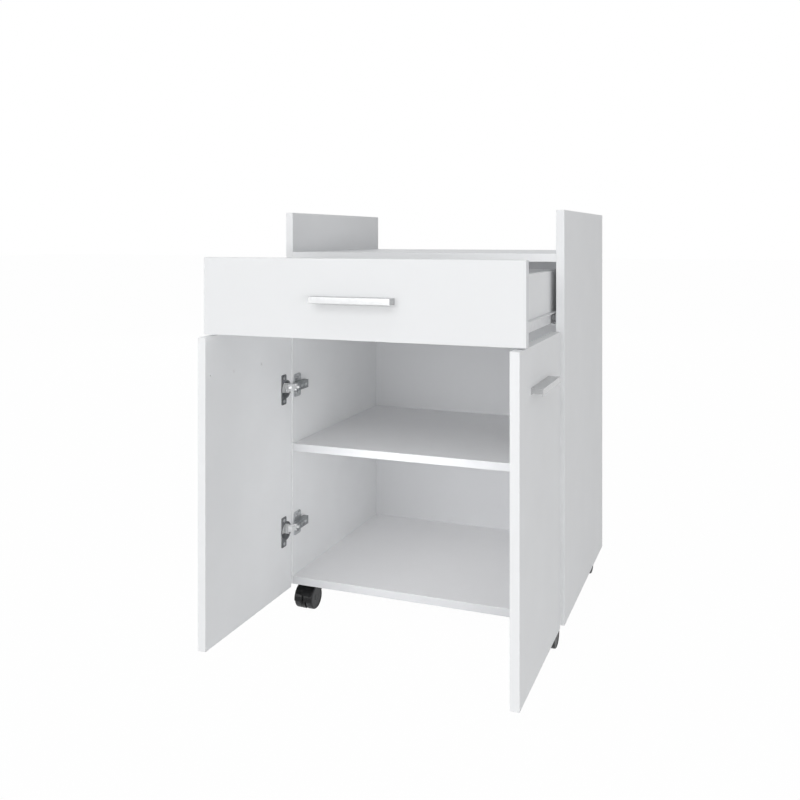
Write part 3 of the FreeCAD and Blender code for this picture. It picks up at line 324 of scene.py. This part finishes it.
def round_edges(piece, radius, wanted, steps=3):
    choose(piece, "EDGE", wanted)
    bpy.ops.mesh.bevel(offset=radius, segments=steps, affect="EDGES", clamp_overlap=True)
    done()
    return piece


def through_thickness(a, b):
    # an edge that runs through a plate lying flat on the door or the side panel
    return abs(a.x - b.x) > 1


def soften_all(piece, radius, steps=2, angle=40):
    # a small rolled-over edge all round, as pressing, moulding or plating leaves
    only(piece)
    roll = piece.modifiers.new("rolled edge", "BEVEL")
    roll.width = radius
    roll.segments = steps
    roll.limit_method = "ANGLE"
    roll.angle_limit = math.radians(angle)
    roll.use_clamp_overlap = True
    bpy.ops.object.modifier_apply(modifier=roll.name)
    return piece


def combine(piece, tool, how):
    only(piece)
    step = piece.modifiers.new("shape", "BOOLEAN")
    step.operation = how
    step.solver = "EXACT"
    step.object = tool
    bpy.ops.object.modifier_apply(modifier=step.name)
    bpy.data.objects.remove(tool, do_unlink=True)


def add_to(piece, *tools):
    for tool in tools:
        combine(piece, tool, "UNION")


def cut_from(piece, *tools):
    for tool in tools:
        combine(piece, tool, "DIFFERENCE")


def gather(pieces):
    # several bodies kept as one object
    bpy.ops.object.select_all(action="DESELECT")
    for piece in pieces:
        piece.select_set(True)
    bpy.context.view_layer.objects.active = pieces[0]
    bpy.ops.object.join()
    return pieces[0]


def twin(piece):
    other = piece.copy()
    other.data = piece.data.copy()
    bpy.context.scene.collection.objects.link(other)
    return other


def set_at(piece, place, turn=0.0, mirror=False):
    # from a piece's own millimetres to its place on the cart, in metres
    piece.scale = (-MM if mirror else MM, MM, MM)
    piece.rotation_euler = (0, 0, math.radians(turn))
    piece.location = place
    return fix_in_mesh(piece)


def finish_piece(piece, name, material, body, slot, *stands_for):
    only(piece)
    bpy.ops.object.mode_set(mode="EDIT")
    bpy.ops.mesh.select_mode(type="VERT")
    bpy.ops.mesh.select_all(action="SELECT")
    bpy.ops.mesh.remove_doubles(threshold=DOUBLES)
    bpy.ops.mesh.normals_make_consistent(inside=False)
    done()
    bpy.ops.object.shade_smooth_by_angle(angle=math.radians(SMOOTH_ANGLE))
    # flat faces stay flat beside their rolled edges
    even = piece.modifiers.new("even faces", "WEIGHTED_NORMAL")
    even.keep_sharp = True
    even.weight = 90
    bpy.ops.object.modifier_apply(modifier=even.name)
    piece.name = name
    piece.data.name = name
    piece.data.materials.clear()
    piece.data.materials.append(material)
    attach(piece, body)
    if stands_for:
        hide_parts(*stands_for)


# ---- where things are ----
FRONT_EDGE = panel_low.y                # side panels' front edge
OUTER_FACE = panel_low.x                # left side panel's outer face
SIDES_LOW = panel_low.z
BOARD = 16.0
HINGE_HEIGHTS = (125.0, 420.0)          # above the side panels' bottom edge

# ---- pulls: an aluminium channel with a deep front lip, hollow behind ----
DRAWER_PULL_LONG = 150.0
DOOR_PULL_LONG = 128.0
PULL_REACH = 21.5
PULL_HIGH = 11.5
PULL_WALL = 1.8
PULL_LIP = 2.6
LIP_ROUND = 0.7
CHANNEL_ROUND = 0.45
PULL_POST = 8.0
PULL_POST_START = 0.9
PULL_POST_LONG = 14.0
PULL_POSTS_APART = 96.0
# grey blocks in the upper part of each channel end: painted shade for the hollow
SHADE_BLOCK_HIGH = 7.4
SHADE_BLOCK_LONG = 3.2
SHADE_BLOCK_SUNK = 0.25                        # below the channel's end
SHADE_BLOCK_PLAY = 0.05


def pull_bar(long):
    def lengthways(a, b):
        return abs(a.x - b.x) > long - 1

    top = PULL_HIGH / 2
    lip_back = -PULL_REACH + PULL_LIP
    outline = [(0, -top), (0, top), (-PULL_REACH, top), (-PULL_REACH, -top), (lip_back, -top),
               (lip_back, top - PULL_WALL), (-PULL_WALL, top - PULL_WALL), (-PULL_WALL, -top)]
    bar = prism([(-long / 2, y, z) for y, z in outline], (long, 0, 0))
    round_edges(bar, LIP_ROUND, lambda a, b: lengthways(a, b) and a.y < -PULL_REACH + 0.1, 4)
    round_edges(bar, CHANNEL_ROUND, lambda a, b: lengthways(a, b) and -PULL_REACH + 1.0 < a.y < -0.1, 3)
    soften_all(bar, 0.18, 2, FINE_ANGLE)
    posts = [round_bar(PULL_POST, (side * PULL_POSTS_APART / 2, -PULL_POST_START, 0),
                       (side * PULL_POSTS_APART / 2, -PULL_POST_LONG, 0), 32) for side in (-1, 1)]
    for post in posts:
        soften_all(post, 0.4)
    return gather([bar] + posts)


# painted shade: a grey block in the upper part of each end of the channel, standing in for its dark hollow
def pull_shade_blocks(long):
    top = PULL_HIGH / 2 - PULL_WALL - SHADE_BLOCK_PLAY
    shade_blocks = []
    for side in (-1, 1):
        out = side * (long / 2 - SHADE_BLOCK_SUNK)
        into = side * (long / 2 - SHADE_BLOCK_LONG)
        shade_block = block(min(out, into), max(out, into), -PULL_REACH + PULL_LIP + SHADE_BLOCK_PLAY,
                     -PULL_WALL - SHADE_BLOCK_PLAY, top - SHADE_BLOCK_HIGH, top)
        shade_blocks.append(soften_all(shade_block, 0.5, 3))
    return gather(shade_blocks)


def fit_pull(name, node, long, body, turn):
    low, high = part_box(node)
    if turn == 0:
        place = ((low.x + high.x) / 2, high.y, (low.z + high.z) / 2)
    else:
        place = (high.x if turn < 0 else low.x, (low.y + high.y) / 2, (low.z + high.z) / 2)
    finish_piece(set_at(pull_bar(long), place, turn), name, pull_metal, body, "white_pull", node)
    # the pull's ends get their grey blocks of painted shade
    finish_piece(set_at(pull_shade_blocks(long), place, turn), name + "_shade_blocks", shade_block_grey, body, "white_pull")


fit_pull("drawer_pull_channel", "drawer_pull", DRAWER_PULL_LONG, "drawer", 0)
fit_pull("left_door_pull_channel", "left_door_pull", DOOR_PULL_LONG, "left_door_leaf", -90)
fit_pull("right_door_pull_channel", "right_door_pull", DOOR_PULL_LONG, "right_door_leaf", 90)

# ---- screws ----
DOME = 0.72                             # of the head's height, the dome's rounding
CROSS_WIDE, CROSS_REACH = 0.13, 0.29    # of the head's diameter
CROSS_FLOOR = 0.35                      # of the head's height


def pan_head(dia, high, shank, long):
    # domed head above z = 0, cross recess from the top, shank and point below
    head = round_bar(dia, (0, 0, 0), (0, 0, high), 40)
    round_edges(head, high * DOME, lambda a, b: a.z > high - NEAR and b.z > high - NEAR, 5)
    wide = dia * CROSS_WIDE
    reach = dia * CROSS_REACH
    for x, y in ((reach, wide / 2), (wide / 2, reach)):
        cut_from(head, block(-x, x, -y, y, high * CROSS_FLOOR, high + 1))
    stem = round_bar(shank, (0, 0, 0.05), (0, 0, -long + shank), 24)
    point = round_bar(shank, (0, 0, -long + shank), (0, 0, -long), 24, shank * 0.15)
    return gather([head, stem, point])


def screw_toward(pattern, seat, axis):
    # a copy of the pattern with its head's seat at a point, driven along an axis
    screw = twin(pattern)
    screw.rotation_euler = Vector(axis).to_track_quat("-Z", "Y").to_euler()
    screw.location = seat
    return fix_in_mesh(screw)


wing_screw = pan_head(6.6, 1.8, 3.5, 14.0)
arm_screw = pan_head(6.4, 1.6, 4.0, 7.5)

# ---- hinges, in the side panel's own measures: x in from its outer face, y back from its front edge,
# z from the hinge's middle ----
INTO_BOARD = (-1, 0, 0)
PAST = 5                                # how far a cutter goes past the face it opens
FACE = 20.9                             # open door's inner face

CUP_MID = -36.5
CUP_DIA = 34.9
CUP_FLOOR = 8.35                        # the floor's outer side
CUP_FLOOR_THICK = 0.6
CUP_FOOT_ROUND = 1.2
CUP_BORE = 32.9
CUP_RIM = CUP_DIA + 3.3
WING_MID = -45.3
WING_WIDE = 18.6
WING_LONG = 62.0
WING_ROUND = 3.0
WING_HOLE = 4.0
FLANGE = 1.2
NOTCH_HALF = 8.4
NOTCH_DEEP = 4.6
CUP_SCREWS = 24.0                       # from the hinge's middle, up and down

LINING_HALF = 10.4
LINING_PLAY = 0.1
LINING_WALL = 1.1
LINING_LOW = 0.65                       # above the cup's floor
LINING_FLOOR = 1.15
LINING_HIGH = 0.6                       # above the door's face
LINING_FAR = 30
LINING_BACK = -70

PIN_DIA = 2.0
PIN_HALF = 9.6
CUP_PIN = (14.8, -23.448)
INNER_CUP_PIN = (18.0, -22.5)
ARM_PIN = (29.0, -9.2)
INNER_ARM_PIN = (31.5, -4.5)

LINK_THICK = 1.0
OUTER_STRAPS = ((3.0, 7.0), (-7.0, -3.0))
OUTER_BEND = (18.9, -25.2)
OUTER_EYES = (3.9, 4.3)
CUP_EYE_BORE = 2.1
ARM_EYE_BORE = 2.5
INNER_HALF = 2.6
INNER_BEND = (24.2, -18.9)
INNER_EYES = (3.9, 6.5)
OPEN_EYE_BORE = 4.7                     # the open pivot, wide round its pin

ARM_TOP = 29.7
ARM_START, ARM_END = 3, 43
ARM_OUTLINE = [(18.3, ARM_END), (18.3, 4), (24, -3), (26.7, -9.2), (28, -11.3), (30, -11.3), (33.5, -5.5),
               (32.9, -2.7), (ARM_TOP, ARM_START), (ARM_TOP, ARM_END)]
CHEEKS = (7.2, -8.7)                    # each cheek's lower side
CHEEK_THICK = 1.5
ARM_BACK = 28.2
ARM_BACK_HALF = 8.0
ARM_ROUND = 1.1
ARM_SCREWS = (15.0, 30.0)
ARM_HOLE = 4.4
ARM_CUT = (26, 32)                      # cutters reach through the arm's back between these
ARM_SLOTS = ((20.5, 24.5, 3.2), (36.4, 40.4, 3.2), (5.2, 8.4, 4.6))     # start, end, half width
ARM_STUBS = ((3.0, 7.3), (-7.3, -3.0))
ARM_STUB_DIA = 2.4
ARM_PIN_HALF = 7.3
RIVET_DIA = 3.4
RIVET_FROM, RIVET_TO = 8.65, 9.1

PLATE_TOP = BOARD + 1.8
PLATE_START, PLATE_END = 4, 32
PLATE_HALF = 24.5
PLATE_ROUND = 5.0
CARRIER_TOP = 28.15
CARRIER_END = 38
CARRIER_HALF = 6.9
CARRIER_HOLE = 4.1
PLATE_SCREWS = ((13.0, 16.0), (13.0, -16.0))
PLATE_HOLE_AT, PLATE_HOLE_UP = 13, 16
PLATE_HOLE = 3.6
OBLONG = (23.4, 27.6)
OBLONG_HALF = 3.9
OBLONG_ROUND = 2.05


def hinge_cup():
    cup = round_bar(CUP_DIA, (CUP_FLOOR, CUP_MID, 0), (FACE + NEAR, CUP_MID, 0), ROUND)
    round_edges(cup, CUP_FOOT_ROUND, lambda a, b: a.x < CUP_FLOOR + NEAR and b.x < CUP_FLOOR + NEAR, 3)
    flange = block(FACE, FACE + FLANGE, WING_MID - WING_WIDE / 2, WING_MID + WING_WIDE / 2,
                   -WING_LONG / 2, WING_LONG / 2)
    round_edges(flange, WING_ROUND, through_thickness, 5)
    rim = round_bar(CUP_RIM, (FACE, CUP_MID, 0), (FACE + FLANGE, CUP_MID, 0), ROUND)
    add_to(cup, flange, rim)
    cut_from(cup, round_bar(CUP_BORE, (CUP_FLOOR + CUP_FLOOR_THICK, CUP_MID, 0), (FACE + PAST, CUP_MID, 0), ROUND))
    cut_from(cup, block(FACE - NOTCH_DEEP, FACE + PAST, CUP_MID, CUP_MID + 40, -NOTCH_HALF, NOTCH_HALF))
    for side in (-1, 1):
        cut_from(cup, round_bar(WING_HOLE, (FACE - 1, WING_MID, side * CUP_SCREWS),
                                (FACE + 3, WING_MID, side * CUP_SCREWS), 24))
    return soften_all(cup, 0.28, 2, FINE_ANGLE)


def cup_lining():
    # the pale moulded insert inside the cup, with the two pins across its notch
    lining = round_bar(CUP_BORE - LINING_PLAY, (CUP_FLOOR + LINING_LOW, CUP_MID, 0),
                       (FACE + LINING_HIGH, CUP_MID, 0), ROUND)
    cut_from(lining, round_bar(CUP_BORE - LINING_WALL, (CUP_FLOOR + LINING_FLOOR, CUP_MID, 0),
                               (FACE + PAST, CUP_MID, 0), ROUND))
    cut_from(lining, block(FACE - NOTCH_DEEP, FACE + PAST, CUP_MID, CUP_MID + 40,
                           -NOTCH_HALF - LINING_PLAY, NOTCH_HALF + LINING_PLAY),
             block(0, FACE + PAST, LINING_BACK, 0, LINING_HALF, LINING_FAR),
             block(0, FACE + PAST, LINING_BACK, 0, -LINING_FAR, -LINING_HALF))
    pins = [round_bar(PIN_DIA, (x, y, -PIN_HALF), (x, y, PIN_HALF), 20) for x, y in (CUP_PIN, INNER_CUP_PIN)]
    return gather([lining] + pins)


def eye_plate(points, eyes, z0, z1):
    # a strap with a small round bend at its middle point and an eye rolled round the pin at each end
    legs = []
    for start, end in zip(points[:-1], points[1:]):
        start, end = Vector(start), Vector(end)
        way = (end - start).normalized() * LINK_THICK / 2
        across = Vector((-way.y, way.x))
        ring = (start + across, end + across, end - across, start - across)
        legs.append(prism([(corner.x, corner.y, z0) for corner in ring], (0, 0, z1 - z0)))
    strap = legs[0]
    add_to(strap, legs[1], round_bar(LINK_THICK, (*points[1], z0), (*points[1], z1), 24))
    for place, eye in zip((points[0], points[2]), eyes):
        add_to(strap, round_bar(eye, (*place, z0), (*place, z1), 28))
    return strap


def outer_links():
    straps = []
    for z0, z1 in OUTER_STRAPS:
        strap = eye_plate((CUP_PIN, OUTER_BEND, ARM_PIN), OUTER_EYES, z0, z1)
        for pin, bore in ((CUP_PIN, CUP_EYE_BORE), (ARM_PIN, ARM_EYE_BORE)):
            cut_from(strap, round_bar(bore, (*pin, z0 - 1), (*pin, z1 + 1), 20))
        straps.append(soften_all(strap, 0.2, 2, FINE_ANGLE))
    return gather(straps)


def inner_link():
    strap = eye_plate((INNER_CUP_PIN, INNER_BEND, INNER_ARM_PIN), INNER_EYES, -INNER_HALF, INNER_HALF)
    cut_from(strap, round_bar(CUP_EYE_BORE, (*INNER_CUP_PIN, -4), (*INNER_CUP_PIN, 4), 20))
    cut_from(strap, round_bar(OPEN_EYE_BORE, (*INNER_ARM_PIN, -4), (*INNER_ARM_PIN, 4), 24))
    return soften_all(strap, 0.2, 2, FINE_ANGLE)


def hinge_arm():
    # a pressed channel: two cheeks with a rounded nose joined by a slotted back, with its rivet heads
    cheeks = [prism([(x, y, low_side) for x, y in ARM_OUTLINE], (0, 0, CHEEK_THICK)) for low_side in CHEEKS]
    arm = cheeks[0]
    add_to(arm, cheeks[1])
    add_to(arm, block(ARM_BACK, ARM_TOP, ARM_START, ARM_END, -ARM_BACK_HALF, ARM_BACK_HALF))
    round_edges(arm, ARM_ROUND, lambda a, b: abs(a.y - b.y) > 20 and a.x > ARM_TOP - 0.1
                and b.x > ARM_TOP - 0.1 and abs(a.z) > ARM_BACK_HALF, 4)
    for y in ARM_SCREWS:
        cut_from(arm, round_bar(ARM_HOLE, (ARM_CUT[0], y, 0), (ARM_CUT[1], y, 0), 28))
    for start, end, half in ARM_SLOTS:
        cut_from(arm, block(*ARM_CUT, start, end, -half, half))
    for z0, z1 in ARM_STUBS:
        add_to(arm, round_bar(ARM_STUB_DIA, (*ARM_PIN, z0), (*ARM_PIN, z1), 20))
    add_to(arm, round_bar(PIN_DIA, (*INNER_ARM_PIN, -ARM_PIN_HALF), (*INNER_ARM_PIN, ARM_PIN_HALF), 20))
    soften_all(arm, 0.22, 2, FINE_ANGLE)
    heads = []
    for pin in (ARM_PIN, INNER_ARM_PIN):
        for side in (-1, 1):
            head = round_bar(RIVET_DIA, (*pin, side * RIVET_FROM), (*pin, side * RIVET_TO), 20)
            heads.append(soften_all(head, 0.15))
    return gather([arm] + heads)


def mounting_plate():
    # pressed wings with a round and an oblong hole each, and a folded block that carries the arm
    plate = block(BOARD, PLATE_TOP, PLATE_START, PLATE_END, -PLATE_HALF, PLATE_HALF)
    round_edges(plate, PLATE_ROUND, through_thickness, 6)
    add_to(plate, block(BOARD, CARRIER_TOP, PLATE_START, CARRIER_END, -CARRIER_HALF, CARRIER_HALF))
    for side in (-1, 1):
        up = side * PLATE_HOLE_UP
        cut_from(plate, round_bar(PLATE_HOLE, (BOARD - 1, PLATE_HOLE_AT, up), (BOARD + 4, PLATE_HOLE_AT, up), 24))
        hole = block(BOARD - 1, BOARD + 4, *OBLONG, up - OBLONG_HALF, up + OBLONG_HALF)
        cut_from(plate, round_edges(hole, OBLONG_ROUND, through_thickness, 5))
    for y in ARM_SCREWS:
        cut_from(plate, round_bar(CARRIER_HOLE, (22, y, 0), (30, y, 0), 24))
    return soften_all(plate, 0.35, 2, FINE_ANGLE)


cup_pattern = hinge_cup()
lining_pattern = cup_lining()
outer_pattern = outer_links()
inner_pattern = inner_link()
arm_pattern = hinge_arm()
plate_pattern = mounting_plate()
plate_screw_set = [screw_toward(wing_screw, (PLATE_TOP, y, z), INTO_BOARD) for y, z in PLATE_SCREWS]
plate_screw_set += [screw_toward(arm_screw, (ARM_TOP, y, 0), INTO_BOARD) for y in ARM_SCREWS]
hinge_screw_pattern = gather(plate_screw_set)
cup_screw_pattern = gather([screw_toward(wing_screw, (FACE + FLANGE, WING_MID, side * CUP_SCREWS), INTO_BOARD)
                            for side in (-1, 1)])


def hinge_copies(pattern, mirror):
    copies = []
    for height in HINGE_HEIGHTS:
        place = (-OUTER_FACE if mirror else OUTER_FACE, FRONT_EDGE, SIDES_LOW + height * MM)
        copies.append(set_at(twin(pattern), place, 0, mirror))
    return copies


for hand, mirror in (("left", False), ("right", True)):
    leaf = hand + "_door_leaf"
    for pattern, name, metal, body, slot, stands_for in (
            # the cups take the darkened nickel: painted shade for their recess
            (cup_pattern, "hinge_cups", cup_nickel_painted_shade, leaf, "dark_nickel", (hand + "_hinge_cups",)),
            (lining_pattern, "cup_linings", cup_grey, leaf, "link_steel", ()),
            (cup_screw_pattern, "cup_screws", screw_nickel, leaf, "dark_nickel", (hand + "_cup_screws",)),
            (outer_pattern, "outer_links", bright_nickel, hand + "_link_pair", "link_steel",
             (hand + "_outer_links",)),
            (inner_pattern, "inner_links", bright_nickel, hand + "_inner_link_pair", "link_steel",
             (hand + "_inner_links",)),
            (arm_pattern, "hinge_arms", arm_nickel, "cabinet", "dark_nickel", ("hinge_arms",)),
            (plate_pattern, "hinge_plates", plate_nickel, "cabinet", "dark_nickel",
             ("hinge_mounting_plates",)),
            (hinge_screw_pattern, "hinge_screws", screw_nickel, "cabinet", "dark_nickel", ("hinge_screws",))):
        finish_piece(gather(hinge_copies(pattern, mirror)), hand + "_" + name + "_detail", metal, body, slot,
                     *stands_for)

# ---- casters: swivel axis at x = y = 0, wheels toward -y, floor at z = 0 ----
TRAIL = -20.0
AXLE = 24.0
WHEEL_DIA = 48.0
WHEEL_IN = 4.9
WHEEL_OUT = 20.5
TREAD_ROUND = 3.0
# from the rim inward: each ring's width, and how far what lies inside it then moves along the axle
OUTER_RINGS = ((1.0, -0.8), (0.4, 0), (12.5, -0.5), (0.8, 0.7))
INNER_RINGS = ((1.6, 3.0),)
HOOD_IN = 24.6                          # radii round the axle
HOOD_OUT = 26.2
HOOD_HALF = 20.0
HOOD_ROUND = 1.4
HOOD_START = 20.0                       # degrees
HOOD_TURN = 166.0
WEB_HALF = 4.3
WEB_FOOT = 4.0                          # the web ends this high above the floor
SLOT_HALF = 1.8
BOSS_DIA = 19.0
BOSS_LOW, BOSS_TOP = 30, 53.3
BOSS_CUT = 25


def sink_rings(rings):
    for width, push in rings:
        bpy.ops.mesh.inset(thickness=width)
        if push:
            bpy.ops.mesh.extrude_region_move(TRANSFORM_OT_translate={"value": (push, 0, 0)})


def wheel():
    tread = round_bar(WHEEL_DIA, (WHEEL_IN, TRAIL, AXLE), (WHEEL_OUT, TRAIL, AXLE), 80)
    round_edges(tread, TREAD_ROUND, lambda a, b: abs(a.x - b.x) < NEAR, 5)
    # outer side: a flat disc set in a thin rim, with a shallow ring round the axle cap
    choose(tread, "FACE", lambda centre, normal: normal.x > 0.99 and centre.x > WHEEL_OUT - 0.1)
    sink_rings(OUTER_RINGS)
    done()
    # inner side: the rim stands out round a sunk web
    choose(tread, "FACE", lambda centre, normal: normal.x < -0.99 and centre.x < WHEEL_IN + 0.1)
    sink_rings(INNER_RINGS)
    done()
    return soften_all(tread, 0.22, 2, 60)


def front_slot():
    return block(-SLOT_HALF, SLOT_HALF, TRAIL - HOOD_OUT - 1, TRAIL - HOOD_OUT + 3, 0, AXLE + 12)


def hood():
    # a strip's cross-section swept round the axle, with the web between the wheels and the swivel's boss
    bpy.ops.object.select_all(action="DESELECT")
    bpy.ops.mesh.primitive_plane_add(size=1.0)
    shell = bpy.context.active_object
    shell.scale = (2 * HOOD_HALF, HOOD_OUT - HOOD_IN, 1)
    shell.location = (0, (HOOD_OUT + HOOD_IN) / 2, 0)
    fix_in_mesh(shell)
    choose(shell, "EDGE", lambda a, b: a.y > HOOD_OUT - NEAR and b.y > HOOD_OUT - NEAR)
    bpy.ops.mesh.bevel(offset=HOOD_ROUND, segments=4, affect="VERTICES")
    done()
    shell.rotation_euler = (math.radians(HOOD_START), 0, 0)
    fix_in_mesh(shell)
    shell.location = (0, TRAIL, AXLE)
    fix_in_mesh(shell)
    choose(shell, "FACE", lambda centre, normal: True)
    bpy.ops.mesh.spin(steps=36, angle=-math.radians(HOOD_TURN), center=(0, TRAIL, AXLE), axis=(1, 0, 0))
    bpy.ops.mesh.select_all(action="SELECT")
    bpy.ops.mesh.remove_doubles(threshold=0.001)
    bpy.ops.mesh.normals_make_consistent(inside=False)
    done()
    cut_from(shell, front_slot())
    web = round_bar(2 * HOOD_IN + 0.4, (-WEB_HALF, TRAIL, AXLE), (WEB_HALF, TRAIL, AXLE), ROUND)
    cut_from(web, block(-9, 9, -60, 20, -5, WEB_FOOT))
    cut_from(web, front_slot())
    boss = round_bar(BOSS_DIA, (0, 0, BOSS_LOW), (0, 0, BOSS_TOP), 56)
    cut_from(boss, round_bar(2 * HOOD_IN, (WEB_HALF, TRAIL, AXLE), (BOSS_CUT, TRAIL, AXLE), ROUND),
             round_bar(2 * HOOD_IN, (-BOSS_CUT, TRAIL, AXLE), (-WEB_HALF, TRAIL, AXLE), ROUND))
    for body in (shell, web, boss):
        soften_all(body, 0.35, 2, FINE_ANGLE)
    return gather([shell, web, boss])


wheel_pattern = wheel()
other_wheel = twin(wheel_pattern)
other_wheel.scale = (-1, 1, 1)
wheels_pattern = gather([wheel_pattern, fix_in_mesh(other_wheel)])
hood_pattern = hood()
for corner in ("front_left", "front_right", "rear_left", "rear_right"):
    low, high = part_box("caster_axle_" + corner)
    rear = corner.startswith("rear")
    middle = (low + high) / 2
    place = (middle.x, middle.y + (TRAIL if rear else -TRAIL) * MM, middle.z - AXLE * MM)
    turn = 180 if rear else 0
    finish_piece(set_at(twin(wheels_pattern), place, turn), "wheels_" + corner, wheel_black,
                 corner + "_wheel_pair", "wheel_black", "caster_wheels_" + corner)
    finish_piece(set_at(twin(hood_pattern), place, turn), "hood_" + corner, hood_black,
                 corner + "_swivel", "hood_black", "caster_hood_" + corner)

for pattern in (wing_screw, arm_screw, cup_pattern, lining_pattern, outer_pattern, inner_pattern, arm_pattern,
                plate_pattern, hinge_screw_pattern, cup_screw_pattern, wheels_pattern, hood_pattern):
    bpy.data.objects.remove(pattern, do_unlink=True)

# ---- studio ----
LAMPS = (
    # name, place, what it aims at, width and height, all in metres; watts; spread in degrees
    ("left front softbox", (-1.5, -5.5, 1.4), (0, 0, 0.45), (3.0, 1.5), 66, 180),
    ("front softbox", (2.8, -4.9, 0.5), (0, 0, 0.45), (3.0, 0.3), 32, 180),
    ("high front softbox", (-0.1, -3.8, 3.0), (0, 0, 0.4), (3.2, 1.4), 27, 180),
    ("right front softbox", (4.1, -2.9, 0.5), (0, -0.1, 0.45), (2.6, 0.9), 34, 180),
    ("cupboard fill", (0.0, -0.46, 0.34), (0, 0.3, 0.33), (0.3, 0.4), 0.4, 95),
    ("overhead softbox", (0, -0.9, 3.2), (0, -0.3, 0.7), (2.4, 1.2), 6, 180),
    ("rear softbox", (-2.2, 4.6, 1.6), (0, 0, 0.45), (3.6, 2.4), 46, 180),
)
FILL_TINT = (0.985, 0.99, 1.0, 1.0)
FILL_STRENGTH = 0.37
WHITE = (1, 1, 1, 1)
PAPER_LIFT = 0.985                      # share of plain white that the camera sees on the floor
FLOOR_SIDE = 60.0

for name, place, aim, size, watts, spread in LAMPS:
    data = bpy.data.lights.new(name, "AREA")
    data.shape = "RECTANGLE"
    data.size, data.size_y = size
    data.energy = watts
    data.spread = math.radians(spread)
    lamp = bpy.data.objects.new(name, data)
    bpy.context.scene.collection.objects.link(lamp)
    lamp.location = place
    lamp.rotation_euler = (Vector(place) - Vector(aim)).to_track_quat("Z", "Y").to_euler()

# the surroundings look plain white, and light the cart more weakly than they look
world = bpy.data.worlds.new("studio")
bpy.context.scene.world = world
world.use_nodes = True
sky = world.node_tree
sky.nodes.clear()
fill = add(sky, "ShaderNodeBackground", {"Color": FILL_TINT, "Strength": FILL_STRENGTH})
white = add(sky, "ShaderNodeBackground", {"Color": WHITE, "Strength": 1.0})
mixed = add(sky, "ShaderNodeMixShader", {0: seen_directly(sky), 1: fill.outputs[0], 2: white.outputs[0]})
add(sky, "ShaderNodeOutputWorld", {"Surface": mixed.outputs[0]})


def floor_paper():
    # White studio paper. The camera sees it lifted to white, with the cart's shadow kept faintly.
    material, tree = new_finish("white studio paper")
    paper = add(tree, "ShaderNodeBsdfDiffuse", {"Color": tone("#F7F7F7")})
    lit = add(tree, "ShaderNodeEmission", {"Color": WHITE, "Strength": 1.0})
    share = add(tree, "ShaderNodeMath", {0: seen_directly(tree), 1: PAPER_LIFT}, operation="MULTIPLY")
    mix = add(tree, "ShaderNodeMixShader", {0: share.outputs[0], 1: paper.outputs[0], 2: lit.outputs[0]})
    add(tree, "ShaderNodeOutputMaterial", {"Surface": mix.outputs[0]})
    return material


bpy.ops.object.select_all(action="DESELECT")
bpy.ops.mesh.primitive_plane_add(size=FLOOR_SIDE, location=(0, 0, 0))
floor = bpy.context.active_object
floor.name = "studio_floor"
floor.data.materials.append(floor_paper())
floor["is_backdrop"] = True

bpy.context.scene.view_settings.view_transform = "Standard"

low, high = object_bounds()
